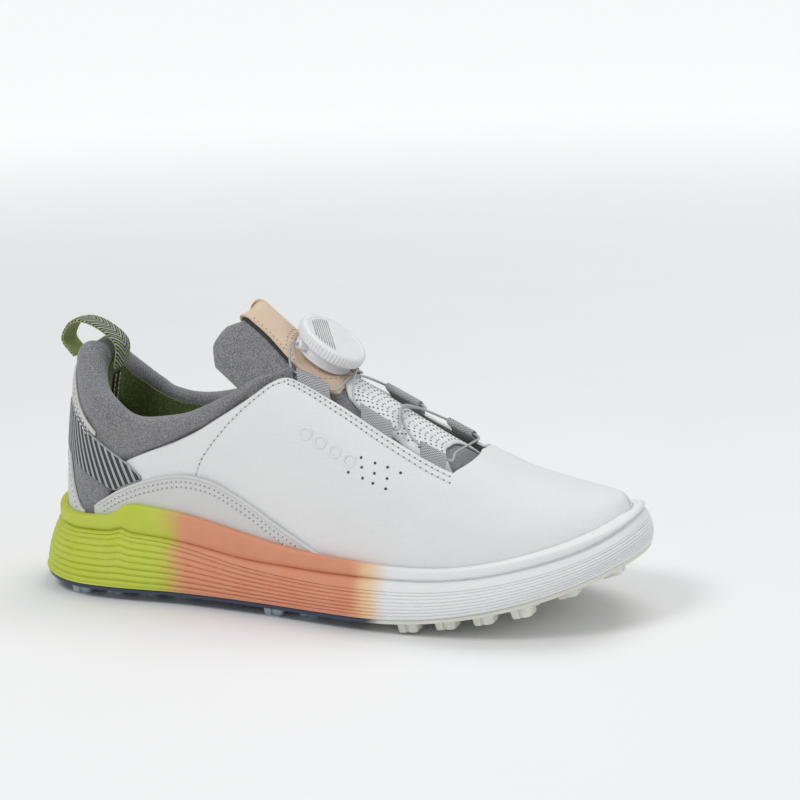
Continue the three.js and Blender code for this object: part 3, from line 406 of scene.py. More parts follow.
def tray(rings, columns=24):
    """A plate or tray from a closed profile of points at each rib of the sole, with its underside
    over the profile's first points and its floor over the last."""
    count, depth, _ = rings.shape
    vertices = [rings.reshape(-1, 3)]
    faces = [grid_faces(count, depth)]
    seam = np.arange(depth - 1)
    last = (count - 1) * depth
    faces.append(np.stack([last + seam, seam, seam + 1, last + seam + 1], -1))
    half = count // 2
    for level in (0, depth - 1):
        share = np.linspace(0, 1, columns + 1)[1:-1, None, None]
        one = rings[1:half, level]
        other = rings[-1:half:-1, level]
        inner = np.moveaxis(mix(one, other, share), 0, 1)
        start = sum(len(v) for v in vertices)
        numbers = np.concatenate([
            (np.arange(1, half) * depth + level)[:, None],
            start + np.arange((half - 1) * (columns - 1)).reshape(half - 1, columns - 1),
            ((count - np.arange(1, half)) * depth + level)[:, None]], 1)
        vertices.append(inner.reshape(-1, 3))
        cells = np.stack([numbers[:-1, :-1], numbers[1:, :-1], numbers[1:, 1:], numbers[:-1, 1:]], -1)
        faces.append(cells.reshape(-1, 4))
        for tip, row in ((level, numbers[0]), (half * depth + level, numbers[-1])):
            ends = np.stack([np.full(columns, tip), row[:-1], row[1:]], -1)
            faces.append(ends)
    return np.concatenate(vertices), [tuple(f) for group in faces for f in group]


def on_plan(u, out, height):
    """Points at that height, pushed out from the base of the form."""
    flat = plan_point(u, out)
    return np.concatenate([flat, np.broadcast_to(height, u.shape)[..., None]], -1)


def form_point(u, t):
    """A point of the foot form: t is 0 inside the cup and 1 on the collar or the ridge."""
    u, t = np.broadcast_arrays(np.asarray(u, float), np.asarray(t, float))
    bx, by, edge, tx, ty, tz, bend = np.moveaxis(rib(u), -1, 0)
    turn = t * math.pi / 2
    inward = bend * (1 - np.cos(turn)) + (1 - bend) * (0.9 * np.sign(t) * np.abs(t) ** 1.6 + 0.1 * t)
    upward = bend * np.sin(turn) + (1 - bend) * t
    ear = 3 * np.exp(-((from_heel(u) - 0.8) / 0.45) ** 2)
    low = edge - TUCK
    return np.stack([mix(bx, tx, inward), mix(by, ty, inward), mix(low, tz + ear, upward)], -1)


def outward(u, t):
    top = np.minimum(t, 0.994)
    sample = np.minimum(t, 0.97)
    along = form_point(u + 0.01, sample) - form_point(u - 0.01, sample)
    rise = form_point(u, top + 0.005) - form_point(u, top - 0.005)
    return unit(np.cross(along, rise))


def wall(u, t, out):
    """A point of the form pushed outward. Over the forefoot the two sides share the ridge."""
    u, t = np.broadcast_arrays(np.asarray(u, float), np.asarray(t, float))
    share = (0.5 * smooth(t, 0.8, 1) * (from_heel(u) > 8))[..., None]
    way = unit(outward(u, t) * (1 - share) + outward(-u, t) * share)
    return form_point(u, t) + way * np.asarray(out)[..., None]


def plate_ring(inset, below):
    flat = plan_point(sole_ribs, flare(sole_ribs) - PLATE_INSET - inset)
    return np.concatenate([flat, (foam_bottom(flat[:, 0]) - GAP - below)[:, None]], -1)


PLATE_PROFILE = ((0.7, PLATE), (0.2, 1.8), (0, 1.4), (0, 0.1), (0.1, 0))      # inset and depth
plate_rings = np.stack([plate_ring(*p) for p in PLATE_PROFILE], 1)

CLEAR_EDGE = 24                 # where the ivory rubber ends, at the middle of the sole
rubber = Finish("clear_rubber", {"IOR": 1.5, "Subsurface Weight": 0.15, "Subsurface Scale": 0.004})


def rubber_zone(finish):
    """1 under the ball of the foot and the toes, 0 behind, with a bowed soft border."""
    x, y, _ = finish.place().axes()
    wander = finish.grain(finish.place(), 0.03) * 6
    return (x - y * y * 0.006 + wander).rise(CLEAR_EDGE - 3, CLEAR_EDGE + 6)


cloudy = rubber.grain(rubber.place(), 0.05, 3)
ivory = rubber.mix(cloudy, (0.66, 0.67, 0.58), (0.78, 0.79, 0.72))
navy = rubber.mix(cloudy, (0.020, 0.034, 0.072), (0.045, 0.065, 0.115))
rubber.shade({
    "Base Color": rubber.mix(rubber_zone(rubber), navy, ivory),
    "Roughness": 0.34 + cloudy * 0.12,
    "Normal": rubber.bump(rubber.grain(rubber.place(), 1.6), 0.0001, 0.3),
})
piece("outsole_plate", *tray(plate_rings), rubber, "outsole_rubber", replaces=["outsole"])

NOTCH = 0.9
lug_rubber = Finish("lug_rubber", {"IOR": 1.5, "Subsurface Weight": 0.2, "Subsurface Scale": 0.004})
frost = lug_rubber.grain(lug_rubber.place(), 0.25, 3)
lug_ivory = lug_rubber.mix(frost, (0.70, 0.71, 0.63), (0.83, 0.84, 0.78))
lug_blue = lug_rubber.mix(frost, (0.36, 0.45, 0.52), (0.60, 0.68, 0.72))
lug_rubber.shade({
    "Base Color": lug_rubber.mix(rubber_zone(lug_rubber), lug_blue, lug_ivory),
    "Roughness": 0.3 + frost * 0.15,
    "Normal": lug_rubber.bump(lug_rubber.grain(lug_rubber.place(), 2), 0.0001, 0.35),
})


def lug_outline():
    """One lug from below: a square with cut corners and a notch in the middle of each side."""
    half = LUG_SIZE / 2
    side = [(half, -half + 1.1), (half, -NOTCH), (half - NOTCH, -NOTCH * 0.7), (half - NOTCH, NOTCH * 0.7),
            (half, NOTCH), (half, half - 1.1), (half - 0.5, half - 0.3)]
    points = []
    for turn in range(4):
        c, s = (1, 0, -1, 0)[turn], (0, 1, 0, -1)[turn]
        points += [(x * c - y * s, x * s + y * c) for x, y in side]
    return np.array(points)


def lug_places():
    border = plan_point(sole_ribs, flare(sole_ribs) - PLATE_INSET - LUG_SIZE * 0.68)
    after = np.roll(border, -1, 0)
    reach = math.ceil(LAST_LENGTH / LUG_PITCH)
    c, s = math.cos(LUG_GRID_TURN), math.sin(LUG_GRID_TURN)
    for i in range(-reach, reach + 1):
        for j in range(-reach, reach + 1):
            x = LUG_PITCH * (i * c - j * s)
            y = LUG_PITCH * (i * s + j * c)
            spans = (border[:, 1] > y) != (after[:, 1] > y)
            a, b = border[spans], after[spans]
            crossings = a[:, 0] + (y - a[:, 1]) / (b[:, 1] - a[:, 1]) * (b[:, 0] - a[:, 0])
            if np.sum(x < crossings) % 2:
                yield x, y


# Its layers from the plate down, as a share of its outline and a height, with a dish in its end.
LUG_LAYERS = [(1.0, 0.6), (1.0, -0.6), (0.93, 0.5 - LUG_HEIGHT), (0.86, -LUG_HEIGHT), (0.5, -LUG_HEIGHT),
              (0.44, 0.55 - LUG_HEIGHT)]
outline = lug_outline()
lug_vertices, lug_faces = [], []
for x, y in lug_places():
    slope = (foam_bottom(x + 1) - foam_bottom(x - 1)) / 2
    tilt = math.atan(slope)
    root = foam_bottom(x) - GAP - PLATE
    lug_faces += rod_faces(len(LUG_LAYERS), len(outline), len(lug_vertices))
    for scale, height in LUG_LAYERS:
        for a, b in outline * scale:
            lug_vertices.append((x + a * math.cos(tilt) - height * math.sin(tilt), y + b,
                                 root + a * math.sin(tilt) + height * math.cos(tilt)))
piece("outsole_lugs", lug_vertices, lug_faces, lug_rubber, "outsole_rubber", sharp=35)

# ---------------------------------------------------------------- midsole
# A cup of injected foam, dyed lime at the heel, coral under the arch and white in front. A smooth
# band runs round its rim, a groove below it, and flowing ribs from there down to the outsole.

CUP_DEPTH, BED_CLEARANCE = 13, 2.1
WALL_STEPS = 100                # from the outsole up to the groove
RIB_COUNT = 8
RIB_ZONE = 0.74                 # share of the wall below the groove that the ribs fill in front
RIB_RELIEF = 0.95
band_height = line_through([(0, 6.6), (2.3, 6.6), (2.75, 7.8), (3.1, 11.4), (4.6, 11.8), (5.9, 7.8),
                            (7.2, 5), (9, 4.2), (10.2, 3.6), (11, 2.2), (11.5, 1.6), (12, 1.6)])
rim_step = line_through([(0, -2.4), (2.2, -3.4), (2.68, -3), (2.98, 0.9), (3.6, 0.4), (5, 0), (11.2, 0),
                         (12, 0.6)])
RIM_LIP = 0.35                  # how far the rim's inner edge stands off the upper


def cup_edge(u):
    return rib(u)[..., 2]


def midsole_ring():
    u = sole_ribs
    near = from_heel(u)
    wide = flare(u)
    toe_share = smooth(near, 10.6, 12)
    band = 4.2 + 0.5 * heel_share(u) - 0.9 * toe_share
    rim = cup_edge(u) + rim_step(near)
    groove = cup_edge(u) + np.minimum(rim_step(near), 0) - band_height(near)
    foot = plan_point(u, wide - 1)
    ring = [np.concatenate([foot, foam_bottom(foot[:, 0])[:, None]], -1)]
    bottom = foam_bottom(plan_point(u, wide)[:, 0])
    for q in np.linspace(0.03, 1, WALL_STEPS):
        slope = mix(q ** 1.35, q, heel_share(u))
        bulge = (mix(wide, band, 0.12 + 0.78 * slope) - 0.6 * (1 - q) ** 6
                 + (1.3 - 0.5 * heel_share(u) - 0.6 * toe_share) * math.sin(math.pi * q))
        zone = mix(0.97, RIB_ZONE, smooth(near, 3.4, 6.6))
        place = q / zone * RIB_COUNT
        inside = np.where(q < zone, 1 - np.abs(2 * (place % 1) - 1) ** 2.4, 1)
        relief = -RIB_RELIEF * (1 - inside) * mix(1, 0.62, smooth(near, 4, 8))
        ring.append(on_plan(u, bulge + relief, mix(bottom, groove, q) - 0.9 * q ** 8))
    ring.append(on_plan(u, band - 0.6, groove - 0.5))
    ring.append(on_plan(u, band - 1.1, groove))
    ring.append(on_plan(u, band - 0.3, groove + 0.5))
    for share, out in ((0.08, 0.25), (0.25, 0.45), (0.5, 0.45), (0.75, 0.3), (0.9, 0.05)):
        ring.append(on_plan(u, band + out, mix(groove + 0.5, rim, share)))
    for turn in np.linspace(0.2, 1, 6):
        c, s = math.cos(turn * math.pi / 2), math.sin(turn * math.pi / 2)
        ring.append(on_plan(u, band - 1.1 * (1 - c) - 0.1, rim - 1 + s))
    climb = np.broadcast_to(np.linspace(0, 0.4, 60), (len(u), 60))
    heights = form_point(u[:, None], climb)[..., 2]
    meet = np.array([np.interp(height, h, t) for height, h, t in zip(rim - 0.2, heights, climb)])
    ring.append(wall(u, meet, RIM_LIP + 1.3 * (1 - smooth(near, 6.0, 6.6))))
    ring.append(on_plan(u, BED_CLEARANCE, cup_edge(u) - CUP_DEPTH))
    return np.stack(ring, 1)


LIME, CORAL, CHALK = (0.50, 0.58, 0.022), (0.68, 0.255, 0.135), (0.80, 0.81, 0.83)
DYE_HAZE = (0.80, 0.55, 0.30)   # the pale border between the coral and the white
LIME_END, CORAL_END = -60, 33   # where each dye gives way to the next, along the shoe
foam = Finish("dyed_foam", {"IOR": 1.45, "Subsurface Weight": 0.08, "Subsurface Scale": 0.003})
x, y, z = foam.place().axes()
drift = foam.grain(foam.place(), 0.06, 3) * 9 - 4.5
first_dye = foam.mix((x + drift).rise(LIME_END - 9, LIME_END + 9), LIME, CORAL)
haze = foam.mix((x + drift).rise(CORAL_END - 10, CORAL_END + 1), first_dye, DYE_HAZE)
dyed = foam.mix((x + drift).rise(CORAL_END - 1, CORAL_END + 11), haze, CHALK)
mottle = foam.grain(foam.place(), 0.12, 4)
foam.shade({
    "Base Color": foam.mix(mottle * 0.10, dyed, (0.95, 0.93, 0.85)),
    "Roughness": 0.46 + mottle * 0.14,
    "Normal": foam.bump(foam.grain(foam.place(), 3.2, 3), 0.00008, 0.35),
})
piece("midsole_cup", *tray(midsole_ring()), foam, "midsole_foam", replaces=["midsole"], sharp=65)

# ---------------------------------------------------------------- board, shank and footbed
# A pressed fibre board closes the upper's underside, a stiff plastic shank sits below it in the
# foam, and a lime footbed of foam under a brushed textile lies loose on top.

BOARD_INSET, BOARD, FOOTBED = -5, 1.2, 3.6

def flecked(name, dark, light, per_mm, detail=3, relief=0.0, stretch=(1, 1, 1), **constants):
    """A plain finish whose colour wanders between two tones, with a relief of that depth in metres."""
    finish = Finish(name, {key.replace("_", " "): value for key, value in constants.items()})
    flecks = finish.grain(finish.place(), per_mm, detail, stretch)
    finish.shade({"Base Color": finish.mix(flecks, dark, light)})
    if relief:
        finish.shade({"Normal": finish.bump(flecks, relief)})
    return finish, flecks


fibre, _ = flecked("fibre_board", (0.62, 0.58, 0.5), (0.82, 0.79, 0.71), 1.4, 4, 0.0002, Roughness=0.9)
shank_plastic, flow = flecked("shank_plastic", (0.02, 0.02, 0.022), (0.035, 0.035, 0.04), 0.2, 2)
shank_plastic.shade({"Roughness": 0.4 + flow * 0.2})
hidden_sheet, _ = flecked("stiffener_sheet", (0.55, 0.51, 0.42), (0.7, 0.66, 0.56), 1.0, 3, 0.0002,
                          Roughness=0.6)


def refinish(finish, *nodes):
    for node in nodes:
        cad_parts[node].data.materials.clear()
        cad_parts[node].data.materials.append(finish.material)


refinish(fibre, "lasting_board")
refinish(shank_plastic, "shank")
refinish(hidden_sheet, "toe_puff", "heel_stiffener")

bed_textile = Finish("footbed_textile", {"Roughness": 0.95, "Sheen Weight": 0.3})
pile = bed_textile.grain(bed_textile.place(), 2.2, 3)
patches = bed_textile.grain(bed_textile.place(), 0.08, 2)
lime_cloth = bed_textile.mix(pile, (0.30, 0.38, 0.03), (0.62, 0.70, 0.10))
bed_textile.shade({"Base Color": bed_textile.mix(patches * 0.35, lime_cloth, (0.45, 0.55, 0.08)),
                   "Normal": bed_textile.bump(pile, 0.0003, 0.6)})


def footbed_ring():
    """The footbed's profile round its edge, which stands up a little round a dished middle."""
    u = sole_ribs
    edge = BOARD_INSET - 2 * GAP
    low = cup_edge(u) - CUP_DEPTH + 2 * GAP + BOARD
    profile = [(0.5, 0), (0, 0.4), (0, 2.8), (0.3, 3.4), (1, FOOTBED), (2.2, 3.5), (4, 3.1), (6, 2.7),
               (9, 2.5)]
    return np.stack([on_plan(u, edge - inset, low + high) for inset, high in profile], 1)


footbed = piece("footbed", *tray(footbed_ring(), 16), bed_textile, "footbed_textile", replaces=["insole"])

# ---------------------------------------------------------------- lining
# The inner sock: a green heather mesh glued inside the leather and round the padding, which shows
# where the foot goes in.


def across(u, s, out):
    """As wall, but s runs on over the ridge at 1 down to the inner side at 2."""
    over = s > 1
    return wall(np.where(over, -u, u), np.where(over, 2 - s, s), out)


def wall_length(u):
    return np.linalg.norm(form_point(u, 1) - form_point(u, 0), axis=-1)


quarter_top = line_through([(2.75, 0.46), (2.95, 0.55), (3.62, 0.73), (4.4, 0.84), (5.18, 0.885),
                            (5.6, 0.925), (5.85, 0.92), (6.1, 0.84), (6.5, 0.73), (7.08, 0.64),
                            (7.7, 0.61), (8.25, 0.61), (10, 0.62), (12, 0.62)])
foxing_top = line_through([(2, 0.1), (2.4, 0.18), (2.85, 0.3), (3.3, 0.4), (3.85, 0.46), (4.35, 0.41),
                           (4.85, 0.3), (5.5, 0.17), (6.25, 0.07)])
strap_top = line_through([(0, 0.62), (1, 0.64), (1.7, 0.64), (2.45, 0.6), (2.95, 0.52), (3.27, 0.405)])
strap_low = line_through([(0, 0.38), (0.9, 0.38), (1.6, 0.37), (2.25, 0.33), (2.7, 0.28), (3.1, 0.28)])
tab_top = line_through([(0, 0.86), (0.5, 0.84), (1, 0.79), (1.6, 0.72), (2.25, 0.66)])
QUARTER_REAR, THROAT, COLLAR_END, THROAT_BOW = 2.75, 8.25, 5.75, 0.4
COLLAR_TAIL = 0.75              # ribs over which the lining leaves the collar for the leather
LEATHER, OVERLAY_LEATHER, STIFFENER, LINING = 1.4, 1.2, 1.0, 1.2
HEEL_PAD, SIDE_PAD, FRONT_PAD = 13, 8, 4.4
STIFFENER_OUT = -LEATHER - GAP
LINING_OUT = STIFFENER_OUT - STIFFENER - GAP
PADDED_FROM = 2.6
pad_thickness = line_through([(0, HEEL_PAD), (1, HEEL_PAD), (2.4, SIDE_PAD), (4.2, SIDE_PAD),
                              (COLLAR_END, FRONT_PAD)])
pad_foot = line_through([(0, 0.5), (2.5, 0.5), (2.9, 0.5), (3.62, 0.66), (4.4, 0.78), (5.18, 0.84),
                         (5.75, 0.9)])
collar_foot = line_through([(2.25, 0.03), (3, 0.5), (3.62, 0.66), (4.4, 0.77), (5.18, 0.815),
                            (5.75, 0.86)])


def pad_depth(u, t):
    thin = mix(1.4, -LINING_OUT - GAP, smooth(u, PADDED_FROM - 0.2, PADDED_FROM))
    return mix(thin, pad_thickness(u), smooth(t, pad_foot(u) - 0.1, pad_foot(u) + 0.12))


def rim_place(u):
    return 1 - pad_thickness(u) / 2 / wall_length(u)


def lining_out(u, t):
    steep = smooth(u, 2.1, 2.3) * (1 - smooth(u, 3, 3.3))
    pad = -pad_depth(np.minimum(u, COLLAR_END), t) - GAP - 0.7 * steep
    rest = LINING_OUT - 0.6 * smooth(u, 8.5, 9.5)
    return mix(np.minimum(LINING_OUT, pad), rest, smooth(u, COLLAR_END, COLLAR_END + COLLAR_TAIL))


def sheet(outer, inner, keep=None):
    """A sheet of material between two grids of points, closed round every free edge."""
    rows, columns, _ = outer.shape
    cells = grid_faces(rows, columns)
    if keep is not None:
        cells = cells[keep.ravel()]
    count = rows * columns
    sides = np.concatenate([cells[:, [k, (k + 1) % 4]] for k in range(4)])
    keys = {tuple(side) for side in sides.tolist()}
    free = [(a, b) for a, b in keys if (b, a) not in keys]
    faces = [tuple(f) for f in cells.tolist()]
    faces += [tuple(f) for f in (cells[:, ::-1] + count).tolist()]
    faces += [(b, a, a + count, b + count) for a, b in sorted(free)]
    return np.concatenate([outer.reshape(-1, 3), inner.reshape(-1, 3)]), faces


def bowed(u, s, edge):
    """The end of the throat bows forward in the middle."""
    middle = 1 - np.minimum(np.abs(s - 1) / (1 - edge), 1) ** 2
    return u + THROAT_BOW * middle * smooth(u, THROAT - 3, THROAT) * (1 - smooth(u, THROAT, TOE - 0.5))


RIB_RUN = 28                    # rough millimetres from rib to rib, for what is laid along the wall
EDGE_ROLL = np.array([0.0, 0.25, 0.7, 1.6])      # how far from a cut edge its rounding is drawn
EDGE_DROP = np.array([0.55, 0.2, 0.04, 0.0])     # and how far the leather drops there


def body_layer(rear, top, out_at, thickness, step=0.05, side=26, middle=34):
    """A layer that wraps from one side over the forefoot to the other, open at the throat."""
    us = np.linspace(rear, TOE, round((TOE - rear) / step) + 1)
    edge = top(us)[:, None]
    length = wall_length(us)[:, None]
    inner = np.linspace(0, 1, side)[None, :] * (edge - EDGE_ROLL[-1] / length)
    rolled = edge - EDGE_ROLL[::-1][None, 1:] / length
    flank = np.concatenate([inner, rolled], 1)
    drops = np.concatenate([np.zeros(side), EDGE_DROP[::-1][1:]])
    centre = mix(edge, 2 - edge, np.linspace(0, 1, middle)[None, 1:-1])
    s = np.concatenate([flank, centre, 2 - flank[:, ::-1]], 1)
    drop = np.concatenate([drops, np.zeros(middle - 2), drops[::-1]])
    open_row = smooth(us, THROAT, THROAT + 0.06)[:, None]
    u = bowed(us[:, None], s, edge)
    out = out_at(u, np.minimum(s, 2 - s))
    outer = across(u, s, out - drop * (1 - open_row))
    under = across(u, s, out - thickness)
    is_middle = (np.arange(s.shape[1] - 1) >= flank.shape[1] - 1) & \
        (np.arange(s.shape[1] - 1) < flank.shape[1] + middle - 2)
    keep = ~is_middle[None, :] | (us[:-1, None] >= THROAT - 0.01)
    along = np.broadcast_to(us[:, None] * RIB_RUN, s.shape)
    cloth = np.stack([along, s * 70], -1).reshape(-1, 2)
    return *sheet(outer, under, keep), np.concatenate([cloth, cloth])


mesh_cloth = Finish("green_lining", {"Roughness": 0.95, "Sheen Weight": 0.2})
threads = mesh_cloth.grain(mesh_cloth.place(), 3.0, 3)
cells = mesh_cloth.node("TexVoronoi", {}, {"Vector": mesh_cloth.place(), "Scale": 1.1})
green = mesh_cloth.mix(threads.rise(0.35, 0.7), (0.045, 0.075, 0.02), (0.30, 0.40, 0.10))
mesh_cloth.shade({"Base Color": mesh_cloth.mix(cells.rise(0.1, 0.55) * 0.5, green, (0.02, 0.03, 0.012)),
                  "Normal": mesh_cloth.bump(cells, 0.0003, 0.6)})


def lining_top(u):
    """The lining ends at the collar's rim and then just below the leather's edge."""
    rim, leather_edge = rim_place(np.minimum(u, COLLAR_END)), quarter_top(u) - 0.03
    meeting = np.minimum(rim, mix(rim, leather_edge, smooth(u, COLLAR_END, COLLAR_END + COLLAR_TAIL)))
    return np.where(u < COLLAR_END + 0.7, meeting, leather_edge)


vertices, faces, cloth = body_layer(0, lining_top, lining_out, LINING, 0.08, 24, 20)
piece("inner_sock", vertices, faces, mesh_cloth, "green_lining", replaces=["bootie_lining"], weld=0.01)

# ---------------------------------------------------------------- vamp and quarters
# One skin of soft white leather over the whole forefoot and up both sides, tumbled so that its
# grain shows, with a row of stitches along its collar edge and two along the edge of the throat.


def relief(points, per_mm, depth, seed):
    """Soft unevenness at each point, seeded by a fixed offset."""
    flat = points.reshape(-1, 3) * per_mm + seed
    return np.array([noise.noise(Vector(p)) for p in flat]).reshape(points.shape[:-1]) * depth


def leather(name, dark, light, rough=0.42, crease=0.5):
    finish = Finish(name, {"IOR": 1.46, "Sheen Weight": 0.05})
    where = finish.place()
    pores = finish.node("TexVoronoi", {"feature": "DISTANCE_TO_EDGE"}, {"Vector": where, "Scale": 1.15})
    wander = finish.grain(where, 0.5, 3)
    fine = finish.grain(where, 4, 2)
    folds = finish.grain(where, 0.28, 4, (1, 1, 2.2))
    height = pores.rise(0.0, 0.28) * 0.45 + wander * crease + fine * 0.12 + folds * 0.5
    tone = finish.grain(where, 0.035, 3)
    finish.shade({
        "Base Color": finish.mix(tone * 0.7 + pores.rise(0, 0.2) * 0.3, dark, light),
        "Roughness": rough + (1 - pores.rise(0, 0.3)) * 0.16 + wander * 0.06,
        "Normal": finish.bump(height, 0.00022, 0.55),
    })
    return finish


white_leather = leather("white_leather", (0.74, 0.745, 0.75), (0.82, 0.82, 0.82))


def skin_out(u, t):
    """How far the worn leather stands off the form: soft dents, two flex lines and a slacker rear."""
    near = from_heel(u)
    points = form_point(near, t)
    lived_in = relief(points, 0.035, 0.5, 3.1) + relief(points, 0.11, 0.16, 9.4)
    flex = 0.5 * np.exp(-((near - 9.05) / 0.32) ** 2) + 0.35 * np.exp(-((near - 8.4) / 0.22) ** 2)
    bent = flex * relief(points, 0.09, 0.8, 1.7) * smooth(t, 0.3, 0.8)
    slack = smooth(near, 4.6, 3.4) * relief(points * (1, 1, 1.6), 0.17, 0.5, 5.2)
    return lived_in * smooth(t, 0.02, 0.2) - bent + slack


vertices, faces, cloth = body_layer(QUARTER_REAR, quarter_top, skin_out, LEATHER)
piece("vamp_leather", vertices, faces, white_leather, "white_leather", replaces=["vamp"], cloth=cloth,
      weld=0.01)

thread, _ = flecked("white_thread", (0.62, 0.62, 0.61), (0.86, 0.86, 0.85), 5, 2, 0.0002, Roughness=0.6,
                    Sheen_Weight=0.2)
# Near black: painted shade standing in for the inside of each punched hole and vent.
hole_shade, _ = flecked("painted_hole_shade", (0.03, 0.03, 0.03), (0.10, 0.10, 0.10), 3, 2, Roughness=0.9)


def walk(points, ways, pitch):
    """Evenly spaced places along a line, with the way along it and the way out of it."""
    steps = np.linalg.norm(np.diff(points, axis=0), axis=1)
    run = np.concatenate([[0], np.cumsum(steps)])
    stops = np.linspace(0, run[-1], max(int(run[-1] / pitch), 2) + 1)
    at = np.stack([np.interp(stops, run, points[:, k]) for k in range(3)], -1)
    out = unit(np.stack([np.interp(stops, run, ways[:, k]) for k in range(3)], -1))
    along = unit(np.gradient(at, axis=0))
    return at, along, unit(out - along * np.sum(out * along, -1, keepdims=True))


def round_turns(count):
    """Angles evenly round a circle."""
    return np.linspace(0, 2 * math.pi, count + 1)[:-1]


CAPSULE = [(-0.5, 0.35), (-0.38, 0.85), (-0.15, 1), (0.15, 1), (0.38, 0.85), (0.5, 0.35)]
STITCH_SIDES, HOLE_SIDES = 6, 10
PIT = [(1.25, -0.15), (1.0, 0.06), (0.7, 0.02), (0.25, -0.02)]      # shares of its radius, and lifts


def stitch_bodies(at, along, out, length, radius):
    """A short rounded thread at each place, its ends sunk into the leather."""
    ring = round_turns(STITCH_SIDES)
    vertices, faces = [], []
    for p, a, o, c in zip(at, along, out, np.cross(along, out)):
        faces += rod_faces(len(CAPSULE), STITCH_SIDES, len(vertices))
        for place, girth in CAPSULE:
            sink = o * (-0.35 * radius * (2 * place) ** 4)
            for turn in ring:
                offset = c * math.cos(turn) + o * math.sin(turn) * 0.8
                vertices.append(p + a * place * length + offset * radius * girth + sink)
    return vertices, faces


def holes(at, out, along, radius):
    """A small pit at each place: a disc with a raised rim, coloured near black as painted shade for the
    inside of the hole.
    """
    ring = round_turns(HOLE_SIDES)
    vertices, faces = [], []
    for p, a, o, c in zip(at, along, out, np.cross(along, out)):
        faces += rod_faces(len(PIT), HOLE_SIDES, len(vertices))
        for girth, lift in PIT:
            vertices += [p + (a * math.cos(t) + c * math.sin(t)) * radius * girth + o * lift for t in ring]
    return vertices, faces


def over_skin(u, t, out):
    """The face of the white leather on the outer side."""
    return across(u, t, out + skin_out(u, t))


def seam(name, us, ts, lift=0.0, pitch=2.5, length=1.75, radius=0.3, hole=0.34, surface=over_skin,
         body="shoe", colour=thread):
    """A row of stitches over a surface: a thread between each two needle holes."""
    us, ts = np.asarray(us, float), np.asarray(ts, float)
    points = surface(us, ts, lift)
    at, along, out = walk(points, surface(us, ts, lift + 1) - points, pitch / 2)
    stitches = at[1::2] + out[1::2] * 0.12
    piece(name, *stitch_bodies(stitches, along[1::2], out[1::2], length, radius), colour, "white_leather",
          body)
    if hole:
        piece(name + "_holes", *holes(at[0::2], out[0::2], along[0::2], hole), hole_shade, "white_leather", body)


def over_inner_skin(u, s, out):
    """The same face on the inner side, where s runs from 2 down to the ridge at 1."""
    return wall(-u, 2 - s, out + skin_out(-u, 2 - s))


def both_sides(name, us, ts, **how):
    """The same row on the outer and the inner side."""
    us, ts = np.asarray(us, float), np.asarray(ts, float)
    seam(name + "_lateral", us, ts, **how)
    seam(name + "_medial", us, 2 - ts, surface=over_inner_skin, **how)


def below(line, us, gap):
    """The line that runs that many millimetres below another on the wall, on either side."""
    return line(from_heel(us)) - gap / wall_length(us)


# The seam up the quarter, from the foxing to the collar's edge, as points (u, t) on the wall.
QUARTER_SEAM = [(4.15, 0.455), (4.168, 0.475), (4.207, 0.518), (4.291, 0.589), (4.456, 0.669),
                (4.714, 0.755), (5.034, 0.82), (5.354, 0.86), (5.58, 0.888), (5.8, 0.886)]
corner_run = np.linspace(0, len(QUARTER_SEAM) - 1, 160)
us, ts = (np.interp(corner_run, np.arange(len(QUARTER_SEAM)), values) for values in zip(*QUARTER_SEAM))
both_sides("quarter_seam", us, ts, hole=0.36)
us = np.linspace(5.86, 8.2, 140)
for row, gap in enumerate((2.4, 5.2)):
    both_sides(f"throat_seam_{row + 1}", us, below(quarter_top, us, gap), pitch=2.7, hole=0.38,
               radius=0.26)

# Round vents in a diamond below the middle lace guide.
VENTS = [(6.909, 0.466), (7.118, 0.462), (7.304, 0.466), (7.492, 0.467), (6.91, 0.426), (7.1, 0.418),
         (7.287, 0.416), (6.698, 0.394), (6.915, 0.384), (7.07, 0.376), (7.261, 0.372)]
VENT_RADIUS = 0.55
for name, sign in SIDES:
    u, t = np.array(VENTS).T * [[sign], [1]]
    at = wall(u, t, skin_out(u, t))
    out = unit(wall(u, t, 1) - wall(u, t, 0))
    along = unit(np.cross(out, (0, 0, 1)))
    piece("vents_" + name, *holes(at + out * 0.06, out, along, VENT_RADIUS), hole_shade, "white_leather")

# Four plain rings pressed into the quarter, in a row along the seam of the throat.
RINGS = [(6.068, 0.547), (6.286, 0.506), (6.504, 0.469), (6.727, 0.44)]
RING_RADIUS, RING_WIDTH, RING_LIFT, RING_HEIGHT = 2.5, 0.42, 0.16, 0.2
RING_STEPS, RING_SIDES = 32, 6
vertices, faces = [], []
for u, t in RINGS:
    centre = wall(u, t, skin_out(u, t))
    out = unit(wall(u, t, 1) - wall(u, t, 0))
    side = unit(np.cross(out, (0, 0, 1)))
    rise = np.cross(out, side)
    cells = grid_faces(RING_STEPS + 1, RING_SIDES, 0, wrap=True) % (RING_STEPS * RING_SIDES)
    faces += [tuple(f) for f in (cells + len(vertices)).tolist()]
    for a in round_turns(RING_STEPS):
        spoke = side * math.cos(a) + rise * math.sin(a)
        for b in round_turns(RING_SIDES):
            vertices.append(centre + spoke * (RING_RADIUS + RING_WIDTH * math.cos(b))
                            + out * (RING_LIFT + RING_HEIGHT * math.sin(b)))
piece("pressed_rings", vertices, faces, white_leather, "white_leather")

# ---------------------------------------------------------------- foxing
# A second, greyer leather sewn over each side of the heel. Its folded top edge climbs from the
# heel, turns over and runs down into the sole's cup under the arch.

grey_leather = leather("grey_leather", (0.60, 0.605, 0.60), (0.70, 0.70, 0.695), 0.45)
OVERLAY_OUT = GAP + OVERLAY_LEATHER


